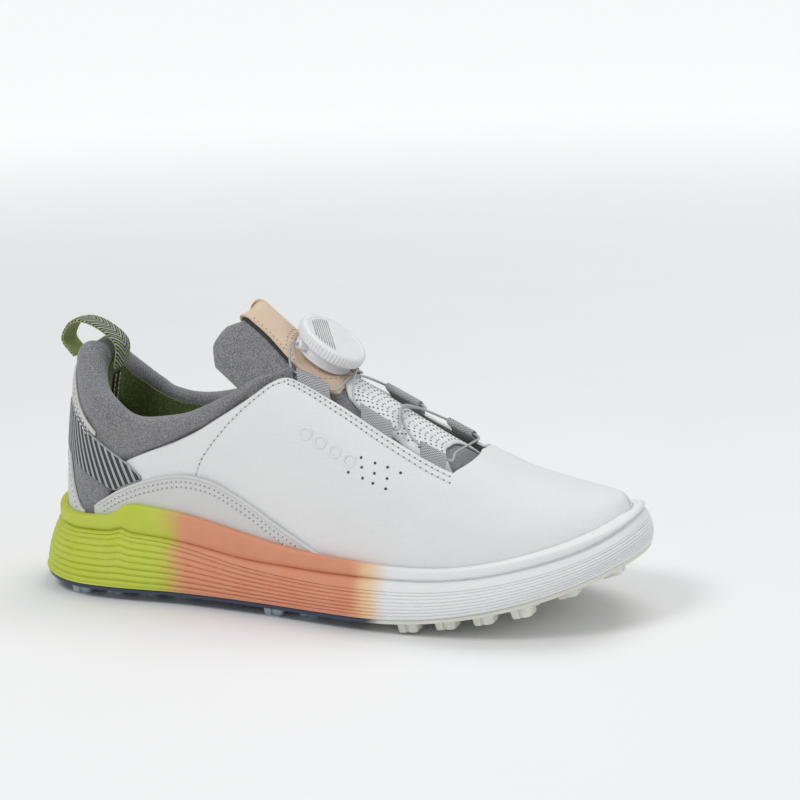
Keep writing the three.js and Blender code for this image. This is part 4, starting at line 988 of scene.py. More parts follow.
def patch(us, low, high, out, thickness, columns=24):
    """A layer on one stretch of the wall, between two lines, with every cut edge rounded."""
    sign = 1 if us[-1] > 0 else -1
    length = wall_length(us)[:, None]
    lows, highs = low(from_heel(us))[:, None], high(from_heel(us))[:, None]
    rolls = EDGE_ROLL[None, :] / length
    middle = mix(lows + rolls[:, -1:], highs - rolls[:, -1:], np.linspace(0, 1, columns)[None, :])
    t = np.concatenate([lows + rolls[:, :-1], middle, highs - rolls[:, -2::-1]], 1)
    drop = np.concatenate([EDGE_DROP[:-1], np.zeros(columns), EDGE_DROP[-2::-1]])[None, :]
    run = np.minimum(np.abs(us - us[0]), np.abs(us[-1] - us)) * RIB_RUN
    ends = np.interp(run, EDGE_ROLL, EDGE_DROP)[:, None]
    u = np.broadcast_to(us[:, None], t.shape)
    outer = wall(u, t, out - np.maximum(drop, ends))
    inner = wall(u, t, out - thickness)
    along = np.broadcast_to(us[:, None] * RIB_RUN * sign, t.shape)
    cloth = np.stack([along, t * length], -1).reshape(-1, 2)
    return *sheet(outer, inner), np.concatenate([cloth, cloth])


BEAD_SIDES = 10


def edge_bead(name, us, ts, lift, radius, finish, slot):
    """A folded edge: a soft round bead along a line on the wall."""
    points = wall(us, ts, lift)
    at, along, out = walk(points, wall(us, ts, lift + 1) - points, 1.0)
    side = np.cross(along, out)
    ring = round_turns(BEAD_SIDES)
    taper = np.minimum(np.minimum(np.arange(len(at)), np.arange(len(at))[::-1]) / 4 + 0.25, 1)
    vertices = (at[:, None] + (side[:, None] * np.cos(ring)[None, :, None]
                + out[:, None] * np.sin(ring)[None, :, None]) * (radius * taper)[:, None, None])
    piece(name, vertices.reshape(-1, 3), rod_faces(len(at), BEAD_SIDES), finish, slot)


def in_cup(u):
    """The low edge of what is tucked into the sole's cup."""
    return np.full_like(u, 0.004)


for name, sign in SIDES:
    us = np.linspace(2.25, 6.2, 130)
    vertices, faces, cloth = patch(us * sign, in_cup, foxing_top, OVERLAY_OUT, OVERLAY_LEATHER)
    piece("foxing_leather_" + name, vertices, faces, grey_leather, "grey_leather",
          replaces=["foxing_" + name], cloth=cloth)
    edge_bead("foxing_fold_" + name, us * sign, below(foxing_top, us, 0.5), OVERLAY_OUT - 0.35, 0.8,
              grey_leather, "grey_leather")
us = np.linspace(2.5, 5.85, 150)
for row, gap in enumerate((2.5, 4.6)):
    for name, sign in SIDES:
        seam(f"foxing_seam_{row + 1}_{name}", us * sign, below(foxing_top, us, gap), lift=OVERLAY_OUT,
             pitch=2.3, hole=0.36, surface=wall)

# ---------------------------------------------------------------- heel counter and heel tab
# Below the strap a narrow leather counter holds the heel, above it a tab with two pointed ends
# carries the pull loop. Both are sewn to the collar's cloth, which shows between them.

EDGE_ROOM = 0.015               # what is left between these leathers and the strap, as a share of t


def counter_top(u):
    """Just below the strap behind the heel, and down into the cup at the counter's ends."""
    return np.minimum(strap_low(u) - EDGE_ROOM, mix(0.37, 0.10, smooth(u, 1.0, 1.98)))


def tab_foot(u):
    return strap_top(u) + EDGE_ROOM


vertices, faces, cloth = patch(np.linspace(-1.98, 1.98, 120), in_cup, counter_top, OVERLAY_OUT,
                               OVERLAY_LEATHER)
piece("heel_counter_leather", vertices, faces, grey_leather, "grey_leather", replaces=["heel_counter"],
      cloth=cloth)
us = np.linspace(-1.85, 1.85, 110)
seam("counter_seam", us, below(counter_top, us, 2.6), lift=OVERLAY_OUT, pitch=2.4, surface=wall)

tab_leather = leather("tab_leather", (0.58, 0.57, 0.55), (0.68, 0.67, 0.65), 0.46)
vertices, faces, cloth = patch(np.linspace(-2.2, 2.2, 130), tab_foot, tab_top, OVERLAY_OUT,
                               OVERLAY_LEATHER)
piece("heel_tab_leather", vertices, faces, tab_leather, "grey_leather", replaces=["heel_tab"],
      cloth=cloth)
us = np.linspace(-2.0, 2.0, 110)
for row, gap in enumerate((2.0, 4.6)):
    seam(f"tab_seam_{row + 1}", us, below(tab_top, us, gap), lift=OVERLAY_OUT, pitch=2.4, surface=wall)
for name, sign in SIDES:
    us = np.linspace(0.05, 2.2, 60)
    edge_bead("tab_edge_" + name, us * sign, below(tab_top, us, 0.2), OVERLAY_OUT - 0.5, 0.6, tab_leather,
              "grey_leather")

# ---------------------------------------------------------------- heel strap
# A flat elastic, black with slanting silver stripes, that runs round the heel and down under the
# foxing on both sides.

elastic = Finish("striped_elastic", {"Sheen Weight": 0.15})
along, over, _ = elastic.cloth().axes()
band = ((along + over * 0.55) / 3.3).part()
silver = (1 - (band - 0.5).size() * 2).rise(0.52, 0.66)
rib_line = ((along - over * 0.12) * 2.4).wave()
edge_line = 1 - elastic.node("UVMap", {"uv_map": "edge"}, {}).axes()[0].rise(0.03, 0.07)
yarn = elastic.grain(elastic.place(), 3, 3)
black = elastic.mix(yarn, (0.018, 0.019, 0.024), (0.055, 0.057, 0.066))
grey = elastic.mix(yarn, (0.30, 0.31, 0.33), (0.48, 0.49, 0.51))
elastic.shade({"Base Color": elastic.mix(silver.most(edge_line), black, grey),
               "Roughness": 0.75 - silver * 0.25,
               "Normal": elastic.bump(silver * 0.6 + rib_line * 0.25 + yarn * 0.3, 0.0003, 0.8)})
STRAP, STRAP_COLUMNS = 1.4, 16


def strap_foot(u):
    """The strap's low edge, which gives way to the foxing at its ends."""
    return np.where(u < 2.4, strap_low(u), np.maximum(strap_low(u), foxing_top(u) + 0.015))


us = np.linspace(-3.2, 3.2, 200)
vertices, faces, cloth = patch(us, strap_foot, strap_top, GAP + STRAP, STRAP, STRAP_COLUMNS)
strap = piece("elastic_strap", vertices, faces, elastic, "striped_elastic", replaces=["heel_strap"],
              cloth=cloth)
columns = STRAP_COLUMNS + 2 * (len(EDGE_ROLL) - 1)
place = np.tile(np.arange(columns) / (columns - 1), 2 * len(us))
nearness = np.minimum(place, 1 - place)
lay_flat(strap.data, "edge", np.stack([nearness, nearness], -1))

# ---------------------------------------------------------------- collar
# Foam padding in heather-grey knit, as one piece from the tongue round the ankle. It is thick
# behind the heel, stands up in two ears there, and its inside turns to the green mesh.


MELANGE = (0.06, 0.06, 0.067), (0.37, 0.37, 0.39)
LINING_GREEN, RIM_GREEN, DEEP_GREEN = (0.26, 0.35, 0.07), (0.06, 0.066, 0.048), (0.012, 0.018, 0.010)


def heather(name):
    """A melange knit of dark and light fibres, and how light each spot of it is."""
    finish = Finish(name, {"Roughness": 0.95, "Sheen Weight": 0.35, "Sheen Roughness": 0.5})
    where = finish.place()
    fibres = finish.grain(where, 2.1, 5)
    fuzz = finish.grain(where, 6, 2)
    clouds = finish.grain(where, 0.3, 2)
    share = (fibres.rise(0.36, 0.64) * 0.7 + fuzz.rise(0.3, 0.7) * 0.3) * 0.85 + clouds * 0.15
    finish.shade({"Base Color": finish.mix(share, *MELANGE),
                  "Normal": finish.bump(fibres * 0.7 + fuzz * 0.5, 0.0004, 0.8)})
    return finish, share


collar_knit, melange = heather("collar_knit")
inward_share = collar_knit.node("UVMap", {"uv_map": "side"}, {}).axes()[0]
height = collar_knit.place().axes()[2].rise(52, 84)
inside_light = collar_knit.mix(height, LINING_GREEN, RIM_GREEN)
inside_green = collar_knit.mix(melange, DEEP_GREEN, inside_light)
outside_grey = collar_knit.mix(melange, *MELANGE)
collar_knit.shade({"Base Color": collar_knit.mix(inward_share.rise(0.1, 0.5), outside_grey, inside_green)})

PUFF = 1.9                      # how far the padding swells over the edge of the leather
COLLAR_LIP = 0.01
RIM_TURNS = 14


def collar_face(u, t):
    heel = 0.9 * smooth(t, tab_top(u) + 0.02, tab_top(u) + 0.10)
    above = smooth(t, quarter_top(u) + COLLAR_LIP, quarter_top(u) + 0.07)
    side = mix(STIFFENER_OUT, PUFF * smooth(u, 3.0, 3.7), above)
    return mix(heel, side, smooth(u, PADDED_FROM - 0.15, PADDED_FROM + 0.1))


def collar_loops(signed):
    """The padding's section at each place: up its outer face, over the rim and down its inner face."""
    u = from_heel(signed)[:, None]
    s = signed[:, None]
    rim = rim_place(u)
    up_share = np.linspace(0, 1, 30)[None, :]
    t = mix(np.minimum(collar_foot(u), rim - 0.03), rim, up_share)
    outer = wall(s, t, collar_face(u, t))
    inner = wall(s, t, -pad_depth(u, t))[:, ::-1]
    rim_out, rim_in = outer[:, -1], inner[:, 0]
    centre = (rim_out + rim_in) / 2
    arm = rim_out - centre
    up_way = unit(wall(signed, 1, 0) - wall(signed, rim[:, 0], 0))
    lift = up_way * np.linalg.norm(arm, axis=-1, keepdims=True)
    turn = np.linspace(0, math.pi, RIM_TURNS + 2)[1:-1, None]
    arc = centre[:, None] + arm[:, None] * np.cos(turn) + lift[:, None] * np.sin(turn)
    return np.concatenate([outer, arc, inner], 1)


signed = np.linspace(-COLLAR_END - 0.2, COLLAR_END + 0.2, 268)
loops = collar_loops(signed)
round_count = loops.shape[1]
puckers = relief(loops, 0.06, 0.8, 2.2) + relief(loops, 0.16, 0.25, 7.7)
normals = np.cross(np.gradient(loops, axis=0), np.gradient(loops, axis=1))
off_foot = smooth(np.abs(np.arange(round_count) - 4), 0, 8)[None, :, None]
loops = loops + unit(normals) * puckers[..., None] * off_foot
collar = piece("collar_padding", loops.reshape(-1, 3), rod_faces(len(signed), round_count), collar_knit,
               "heather_knit", replaces=["collar"], sharp=80)
inside = np.tile(smooth(np.arange(round_count), 46, 56), len(signed))
lay_flat(collar.data, "side", np.stack([inside, inside], -1))

# ---------------------------------------------------------------- tongue
# A padded knit tongue that lies under the throat, leans back above it and stands up behind the dial.

# The tongue leaves the foot form behind rib 7. Each rib behind has the outer foot of its arch, the
# inner foot, and the place and the height of the ridge.
TONGUE_REAR_RIBS = {
    3: (-92, -34, 72, -92, 32, 72, -48, 150),
    4: (-64, -34, 62, -64, 32, 62, -34, 142),
    5: (-32, -34, 42, -32, 31, 42, -20, 126),
    6: (4, -36, 22, 0, 33, 22, -4, 110.5),
}
TONGUE, TONGUE_EDGE, TONGUE_DROP, TONGUE_BACK, TONGUE_FRONT = 6, 2.2, 6.1, 4.75, 9


def tongue_rib(k):
    if k in TONGUE_REAR_RIBS:
        return TONGUE_REAR_RIBS[k]
    lateral, medial = FORM_RIBS[k], FORM_RIBS[RIBS - k]
    return (lateral[0], lateral[1], lateral[2] - TUCK, medial[0], medial[1], medial[2] - TUCK,
            lateral[3], lateral[5])


TONGUE_RIBS = np.array([tongue_rib(k) for k in range(1, TOE + 1)], float)


def tongue_row(v):
    v = np.asarray(v, float)
    whole = np.floor(v).astype(int)
    weights = spline_weights((v - whole)[..., None])
    return sum(w * TONGUE_RIBS[np.clip(whole + k - 2, 0, TOE - 1)] for k, w in enumerate(weights))


def tongue_form(v, s):
    v, s = np.broadcast_arrays(np.asarray(v, float), np.asarray(s, float))
    squareness = 2 / mix(2.5, 2, smooth(v, 5, 6.6))
    turn = np.minimum(s, 2 - s) * math.pi / 2
    out = np.maximum(np.cos(turn), 0) ** squareness
    rise = np.sin(turn) ** squareness
    side = (s > 1)[..., None]
    here = tongue_row(v)
    spacing = tongue_row(v + 0.5)[..., 6] - tongue_row(v - 0.5)[..., 6]
    foot_x = np.where(side[..., 0], here[..., 3], here[..., 0])
    lean = (foot_x - here[..., 6]) / spacing
    row = tongue_row(v - lean * (out - out ** 2 / 0.5))
    base = np.where(side, row[..., 3:6], row[..., 0:3])
    return np.stack([mix(row[..., 6], base[..., 0], out), mix(1.2, base[..., 1], out),
                     mix(base[..., 2], row[..., 7], rise)], -1)


def tongue_face(v, s, out):
    """A point of the tongue, that far out of its front face: v runs forward and s over it."""
    step = 0.02
    along = tongue_form(v + step, s) - tongue_form(v - step, s)
    over = tongue_form(v, s + step) - tongue_form(v, s - step)
    way = unit(np.cross(along, over))
    return tongue_form(v, s) + way * (np.asarray(out) - TONGUE_DROP)[..., None]


tongue_side = line_through([(4.75, 0.41), (5, 0.38), (5.35, 0.38), (5.75, 0.44), (6.1, 0.56), (6.5, 0.58),
                            (7, 0.54), (8, 0.54), (9, 0.62)])


def rounded(distance, radius):
    """How much of its thickness a pad keeps at a distance from its edge."""
    f = np.clip(1 - distance / radius, 0, 1)
    return np.sqrt(np.maximum(1 - f * f, 0))


def tongue_pad():
    top_rows = TONGUE_BACK + np.array([0, 0.008, 0.025, 0.055, 0.1])
    rows = np.concatenate([top_rows, np.linspace(4.9, TONGUE_FRONT, 90)])
    columns = np.concatenate([np.array([0, 0.006, 0.02, 0.045]), np.linspace(0.07, 0.93, 52),
                              1 - np.array([0.045, 0.02, 0.006, 0])])
    v, c = rows[:, None], columns[None, :]
    side = tongue_side(v)
    s = mix(side, 2 - side, c)
    edge = np.abs(2 * c - 1)
    wings = np.interp(np.abs(s - 1), [0.2, 0.35, 0.5, 0.62], [0, 0.02, 0.16, 0.36])
    v = v + wings * smooth(v, 6.3, 4.75)
    thick = mix(TONGUE, TONGUE_EDGE, edge ** 3)
    puff = 0.9 * (1 - edge ** 2) * smooth(v, 5.9, 5.2)
    keep = rounded((rows[:, None] - TONGUE_BACK) * 26, 3.0) * rounded(np.minimum(c, 1 - c) * 60, 1.8)
    grid = tongue_form(v, s)
    ripple = (relief(grid, 0.05, 0.9, 4.4) + relief(grid, 0.15, 0.25, 8.8)) * keep * smooth(v, 7.5, 6.5)
    outer = tongue_face(v, s, -thick / 2 + (thick / 2 + puff) * keep + ripple)
    inner = tongue_face(v, s, -thick / 2 - (thick / 2) * keep)
    return sheet(outer, inner)


knit, _ = heather("heather_knit")
tongue = piece("tongue_padding", *tongue_pad(), knit, "heather_knit", body=None, replaces=["tongue"],
               sharp=80)
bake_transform(tongue)

# ---------------------------------------------------------------- tongue overlay
# A panel of white leather with rows of fine holes, sewn over the front of the tongue under the lace.

ON_TONGUE = GAP + OVERLAY_LEATHER + GAP / 2


PANEL_EDGE = np.array([0, 0.012, 0.03])          # columns beside its edge, where it is rounded


def tongue_panel(vs, side_at, columns=40, dip=None):
    """Both faces of a leather over the tongue, between one side line and its twin."""
    v = vs[:, None]
    side = side_at(v)
    c = np.concatenate([PANEL_EDGE, np.linspace(0.06, 0.94, columns), 1 - PANEL_EDGE[::-1]])
    s = mix(side, 2 - side, c[None, :])
    drop = np.interp(np.minimum(c, 1 - c), [0, 0.012, 0.03, 0.06], EDGE_DROP)[None, :]
    ends = np.interp(np.minimum(v - vs[0], vs[-1] - v) * 30, EDGE_ROLL, EDGE_DROP)
    v = np.broadcast_to(v, s.shape)
    sunk = 0 if dip is None else dip(v, s)
    outer = tongue_face(v, s, ON_TONGUE - np.maximum(drop, ends) - sunk)
    return v, s, outer, tongue_face(v, s, ON_TONGUE - OVERLAY_LEATHER - sunk)


vented = leather("vented_leather", (0.74, 0.745, 0.75), (0.82, 0.82, 0.82), 0.45)
overlay_side = line_through([(6.72, 0.78), (7, 0.7), (7.5, 0.66), (8.35, 0.62)])
v, s, outer, inner = tongue_panel(np.linspace(6.82, 8.3, 48), overlay_side)
piece("tongue_overlay_leather", *sheet(outer, inner), vented, "white_leather",
      replaces=["tongue_overlay"])
spots = [(v, s) for i, v in enumerate(np.arange(6.96, 8.26, 0.075))
         for s in np.arange(0.72 + (i % 2) * 0.022, 1.29, 0.044)]
v, s = np.array(spots).T
at = tongue_face(v, s, ON_TONGUE)
out = unit(tongue_face(v, s, ON_TONGUE + 1) - at)
along = unit(np.cross(out, (0, 1, 0)))
piece("overlay_vents", *holes(at + out * 0.03, out, along, 0.42), hole_shade, "white_leather")

# ---------------------------------------------------------------- tan patch
# A strip of vegetable-tanned leather that folds over the tongue's top and widens round the dial,
# with two rings of stitches there and a black binding along its outer edge.

DIAL_RIB, DIAL_LIFT = 6.25, 2.2
dial_spot = tongue_face(DIAL_RIB, 1, DIAL_LIFT)
dial_up = tongue_face(DIAL_RIB, 1, DIAL_LIFT + 1) - dial_spot
lean = math.atan2(dial_up[0], dial_up[2])
DIAL_WAYS = np.array([(math.cos(lean), 0, -math.sin(lean)), (0, 1, 0), (math.sin(lean), 0, math.cos(lean))])


def on_dial(points):
    """Points of the dial's own frame, whose third axis is the one it turns about."""
    return dial_spot + np.asarray(points, float) @ DIAL_WAYS


def from_axis(points):
    local = (points - dial_spot) @ DIAL_WAYS.T
    return np.hypot(local[..., 0], local[..., 1])


patch_side = line_through([(4.75, 0.79), (5.25, 0.78), (5.75, 0.72), (6.25, 0.68), (6.6, 0.72), (6.8, 0.82)])


def under_dial(v, s):
    """The patch is pressed down a little under the dial's flange."""
    return 0.5 * (1 - smooth(from_axis(tongue_face(v, s, ON_TONGUE)), 12.6, 14.2))


tan = leather("tan_leather", (0.60, 0.45, 0.32), (0.74, 0.59, 0.45), 0.5, 0.3)
v, s, outer, inner = tongue_panel(np.linspace(TONGUE_BACK + 0.02, 6.8, 110), patch_side, 44, under_dial)

# From its first full row it folds over the tongue's top and ends in a short tail behind it.
FOLD_ROW = 3
PATCH_BACK = -TONGUE - 0.2       # the near face of the tail
TAIL_ROWS, FOLD_TURNS = 10, 14
top_v, top_s = v[FOLD_ROW], s[FOLD_ROW]
away = unit(tongue_face(top_v - 0.05, top_s, 0) - tongue_face(top_v, top_s, 0))


def folded(face, behind, reach):
    """One face of the patch with its tail: the tail's rows, then the fold, then the front."""
    tail_v = np.linspace(top_v[0] + 0.28, top_v[0] + 0.02, TAIL_ROWS)[:, None]
    rear = tongue_face(top_v, top_s, behind)
    centre, arm = (face[FOLD_ROW] + rear) / 2, (face[FOLD_ROW] - rear) / 2
    turns = np.linspace(0, math.pi, FOLD_TURNS)[::-1]
    fold = np.stack([centre + arm * math.cos(a) + away * reach * math.sin(a) for a in turns])
    return np.concatenate([tongue_face(tail_v, top_s[None, :], behind), fold, face[FOLD_ROW + 1:]])


whole = sheet(folded(outer, PATCH_BACK - OVERLAY_LEATHER, 5.0), folded(inner, PATCH_BACK, 3.8))
piece("tan_patch", *whole, tan, "tan_leather", "tongue_top", ["tongue_patch"])

cream, _ = flecked("cream_thread", (0.66, 0.52, 0.38), (0.86, 0.74, 0.58), 5, 2, Roughness=0.6)
RING_POINTS = 121


def ring_on_patch(radius):
    """A ring round the dial, laid on the tongue's face by steps towards it."""
    turns = np.linspace(0, 2 * math.pi, RING_POINTS)
    target = on_dial(np.stack([radius * np.cos(turns), radius * np.sin(turns), np.zeros(RING_POINTS)], -1))
    v, s = np.full(RING_POINTS, DIAL_RIB), np.ones(RING_POINTS)
    for _ in range(12):
        here = tongue_face(v, s, ON_TONGUE)
        miss = (target - here) @ DIAL_WAYS.T
        step_v = (tongue_face(v + 0.01, s, ON_TONGUE) - here) @ DIAL_WAYS.T / 0.01
        step_s = (tongue_face(v, s + 0.005, ON_TONGUE) - here) @ DIAL_WAYS.T / 0.005
        det = step_v[:, 0] * step_s[:, 1] - step_v[:, 1] * step_s[:, 0]
        v = v + (miss[:, 0] * step_s[:, 1] - miss[:, 1] * step_s[:, 0]) / det * 0.8
        s = s + (step_v[:, 0] * miss[:, 1] - step_v[:, 1] * miss[:, 0]) / det * 0.8
    return v, s


def dial_seam(name, v, s):
    seam(name, v, s, lift=ON_TONGUE, pitch=2.3, length=1.6, radius=0.22, hole=0.26, surface=tongue_face,
         body="tongue_top", colour=cream)


for name, radius in (("inner", 15.0), ("outer", 17.0)):
    v, s = ring_on_patch(radius)
    inside = (v < 6.72) & (np.minimum(s, 2 - s) > patch_side(v) + 0.02)
    runs = np.split(np.arange(RING_POINTS), np.flatnonzero(np.diff(inside.astype(int))) + 1)
    for number, run in enumerate(r for r in runs if inside[r[0]] and len(r) > 12):
        dial_seam(f"dial_ring_{name}_{number + 1}", v[run], s[run])
v = np.linspace(4.86, 5.62, 30)
s = patch_side(v) + 0.028
dial_seam("patch_seam_lateral", v, s)
dial_seam("patch_seam_medial", v, 2 - s)

binding, _ = flecked("black_binding", (0.01, 0.01, 0.011), (0.04, 0.04, 0.045), 2.5, 3, 0.0002,
                     Roughness=0.8)
v = np.linspace(4.78, 5.75, 40)[:, None]
s = patch_side(v) + np.linspace(-0.034, 0.004, 7)[None, :]
piece("patch_binding", *sheet(tongue_face(v, s, ON_TONGUE - 0.75), tongue_face(v, s, ON_TONGUE - 1.15)),
      binding, "tan_leather", "tongue_top")

# ---------------------------------------------------------------- dial
# A white nylon knob with a ribbed grip turns on a base that is sewn through the patch. Under it
# lie the ratchet's drive disc, the spool and the screw. Two ports in the base let the lace out.

DIAL_RADIUS, DIAL_HEIGHT, DIAL_BASE_HEIGHT = 15.8, 10.4, 5.2
FLANGE_RADIUS, FLANGE, PORT_HEIGHT, LACE = 13, 1.4, 3, 1.1
SPOOL_RADIUS = 9.6
PORT_SIDE = (-0.52, 0.854)
CUP_RADIUS = SPOOL_RADIUS + GAP
CUP_OUTER = CUP_RADIUS + 1.8

nylon = Finish("white_nylon", {"IOR": 1.5, "Subsurface Weight": 0.06, "Subsurface Scale": 0.002})
bloom = nylon.grain(nylon.place(), 0.3, 3)
nylon.shade({"Base Color": nylon.mix(bloom, (0.74, 0.745, 0.765), (0.83, 0.83, 0.845)),
             "Roughness": 0.3 + bloom * 0.12,
             "Normal": nylon.bump(nylon.grain(nylon.place(), 4, 2), 0.00005, 0.4)})
dark_nylon, bloom = flecked("dark_nylon", (0.035, 0.037, 0.042), (0.06, 0.063, 0.07), 0.4)
dark_nylon.shade({"Roughness": 0.35 + bloom * 0.2})
steel, brush = flecked("screw_steel", (0.5, 0.51, 0.52), (0.68, 0.69, 0.7), 3, 2, stretch=(1, 12, 1),
                       Metallic=1.0)
steel.shade({"Roughness": 0.25 + brush * 0.2})
refinish(dark_nylon, "spool", "drive_disc")
refinish(steel, "dial_screw")

SPOKES = 360
GRIPS = 60


def turned(profile, relief_at=None):
    """A body turned about the dial's axis, from (radius, height, share of the relief) points."""
    turns = round_turns(SPOKES)
    rings = []
    for radius, height, share in profile:
        reach = np.full(SPOKES, radius, float)
        if share and relief_at is not None:
            reach = reach + relief_at(turns) * share
        rings.append(np.stack([reach * np.cos(turns), reach * np.sin(turns), np.full(SPOKES, height)], -1))
    return on_dial(np.concatenate(rings)), rod_faces(len(profile), SPOKES)


def grip(turns):
    """The grip's grooves, as a depth at each angle."""
    return -0.55 * (1 - np.abs(np.cos(turns * GRIPS / 2)) ** 0.7)


# From the inside of the skirt up the grip, over the rim and in over the slightly crowned face.
knob = [(12.6, 9.6, 0), (12.6, 5.4, 0), (15.1, 5.4, 0), (15.5, 5.6, 0.4), (15.75, 6.1, 1),
        (DIAL_RADIUS, 7, 1), (DIAL_RADIUS, 8.6, 1), (15.7, 9.3, 1), (15.4, 9.8, 0.6), (14.9, 10.15, 0.2),
        (14.2, 10.35, 0), (13.3, DIAL_HEIGHT, 0), (13.0, 10.32, 0), (12.9, 10.16, 0), (12.5, 10.12, 0),
        (9, 10.2, 0), (5, 10.27, 0), (1.5, 10.3, 0), (0.02, 10.3, 0)]
piece("dial_knob_grip", *turned(knob, grip), nylon, "white_nylon", "knob", ["dial_knob"], sharp=42)

# Fine raised lines on one segment of the knob's face.
line_ink, _ = flecked("grip_lines", (0.20, 0.205, 0.215), (0.36, 0.365, 0.375), 1.5, Roughness=0.5)
LINES_TURN, LINES_REACH, LINE_PITCH, LINE_STATIONS = 2.25, 12, 1.15, 12
LINE_SECTION = ((-0.21, 10.1), (-0.17, 10.37), (0.17, 10.37), (0.21, 10.1))
c, s = math.cos(LINES_TURN), math.sin(LINES_TURN)
vertices, faces = [], []
for offset in np.arange(2.2, 11.4, LINE_PITCH):
    half = math.sqrt(LINES_REACH ** 2 - offset ** 2) * 0.97
    faces += rod_faces(LINE_STATIONS, len(LINE_SECTION), len(vertices))
    for a in np.linspace(-half, half, LINE_STATIONS):
        ends = min(1, (half - abs(a)) / 0.4 + 0.15)
        for side, high in LINE_SECTION:
            b = offset + side * ends
            vertices.append((a * c - b * s, a * s + b * c, high))
piece("dial_face_lines", on_dial(vertices), faces, line_ink, "white_nylon", "knob")

base = [(FLANGE_RADIUS - 0.4, 0, 0), (FLANGE_RADIUS, 0.3, 0), (FLANGE_RADIUS, FLANGE - 0.4, 0),
        (FLANGE_RADIUS - 0.3, FLANGE - 0.1, 0), (CUP_OUTER + 0.3, FLANGE + 0.15, 0),
        (CUP_OUTER, FLANGE + 0.5, 0), (CUP_OUTER, DIAL_BASE_HEIGHT - 0.2, 0),
        (CUP_OUTER - 0.2, DIAL_BASE_HEIGHT, 0), (CUP_RADIUS + 0.2, DIAL_BASE_HEIGHT, 0),
        (CUP_RADIUS, DIAL_BASE_HEIGHT - 0.2, 0), (CUP_RADIUS, FLANGE, 0), (0.5, FLANGE, 0)]
piece("dial_base_shell", *turned(base), nylon, "white_nylon", "tongue_top", ["dial_base"], sharp=42)


PORT_SIDES = 24
# The boss from the cup out to its mouth, as distance from the dial's axis and half width.
PORT_PROFILE = [(11.0, 1.95), (15.3, 1.95), (15.9, 1.8), (16.2, 1.5), (16.2, 0.85), (15.2, 0.8)]
for name, side in SIDES:
    x, y = PORT_SIDE[0], -PORT_SIDE[1] * side
    boss = [(x * r - y * w * math.cos(a), y * r + x * w * math.cos(a), PORT_HEIGHT + w * math.sin(a))
            for r, w in PORT_PROFILE for a in round_turns(PORT_SIDES)]
    piece("lace_port_" + name, on_dial(boss), rod_faces(len(PORT_PROFILE), PORT_SIDES), nylon,
          "white_nylon", "tongue_top")

# ---------------------------------------------------------------- lace guides
# Six loops of grey and white herringbone webbing are sewn under the edge of the throat, three a
# side, and the lace turns in their folds.

GUIDE_SPANS = ((6.02, 6.5), (6.95, 7.4), (7.8, 8.15))
GUIDE_OFFSET, GUIDE_LIFT, GUIDE_WIDTH, GUIDE_WALL = 0.03, 0.3, 4.6, 0.6
LACE_ROOM = LACE / 2 + 1.5 * GAP
LACE_IN_FOLD = GUIDE_WIDTH - GUIDE_WALL - LACE_ROOM


def on_guide(u, lateral, a, n):
    """A point beside the throat's edge: a is how far over the tongue and n how far out."""
    u = np.asarray(u, float)
    place = u if lateral else -u
    t = quarter_top(u) + GUIDE_OFFSET
    origin = wall(place, t, GUIDE_LIFT)
    out = wall(place, t, GUIDE_LIFT + 1) - origin
    over = unit(wall(place, t + 0.02, GUIDE_LIFT) - origin)
    over = unit(over - out * np.sum(over * out, -1, keepdims=True))
    return origin + over * np.asarray(a)[..., None] + out * np.asarray(n)[..., None]


webbing = Finish("guide_webbing", {"Sheen Weight": 0.2})
along, over, _ = webbing.cloth().axes()
column = (over / 1.3).part()
slant = (column - 0.5).size() * 2
herring = ((along / 1.05 + slant * 1.0).part() - 0.5).size() * 2
fuzz = webbing.grain(webbing.place(), 4, 2)
pale = herring.rise(0.35, 0.6) * 0.8 + fuzz * 0.2
webbing.shade({"Base Color": webbing.mix(pale, (0.12, 0.12, 0.13), (0.64, 0.64, 0.65)),
               "Roughness": 0.8 + fuzz * 0.1,
               "Normal": webbing.bump(herring * 0.7 + fuzz * 0.3, 0.0003, 0.8)})

fold_turns = np.linspace(-math.pi / 2, math.pi / 2, 10)
fold_radius = LACE_ROOM + 0.3
fold_end = GUIDE_WIDTH - fold_radius
fold_line = [(-3.6, -1.95), (-2.4, -1.8), (-1.0, -1.45), (0.6, -1.12), (1.8, -fold_radius)]
fold_line += [(fold_end + fold_radius * math.cos(a), fold_radius * math.sin(a)) for a in fold_turns]
fold_line += [(1.8, fold_radius), (0.6, 0.85), (-0.8, 0.0), (-2.2, -1.2), (-3.6, -1.55)]
fold_line = np.array(fold_line)
fold_ways = unit(np.gradient(fold_line, axis=0))
fold_out = np.stack([fold_ways[:, 1], -fold_ways[:, 0]], -1)
fold_run = np.concatenate([[0], np.cumsum(np.linalg.norm(np.diff(fold_line, axis=0), axis=1))])
for side, sign in SIDES:
    lateral = sign > 0
    for number, (start, end) in enumerate(GUIDE_SPANS, 1):
        us = np.linspace(start, end, 18)[:, None]
        grids = []
        for offset in (0.24, -0.24):
            line = fold_line + fold_out * offset
            u = np.broadcast_to(us, (len(us), len(line)))
            grids.append(on_guide(u, lateral, line[None, :, 0], line[None, :, 1]))
        cloth = np.stack(np.broadcast_arrays(fold_run[None, :], us * RIB_RUN), -1).reshape(-1, 2)
        piece(f"guide_loop_{side}_{number}", *sheet(*grids), webbing, "guide_webbing",
              replaces=[f"lace_guide_{side}_{number}"], cloth=np.concatenate([cloth, cloth]))

# ---------------------------------------------------------------- lace
# One thin braided cord with a coated finish. From the dial's outer port it crosses the tongue from
# guide to guide down to the lowest pair and comes back up to the inner port.

LACE_LOW = GAP + OVERLAY_LEATHER + LACE / 2 + 1.4
LACE_HIGH = LACE_LOW + LACE + 0.8
GUIDE_EXIT = 0.07


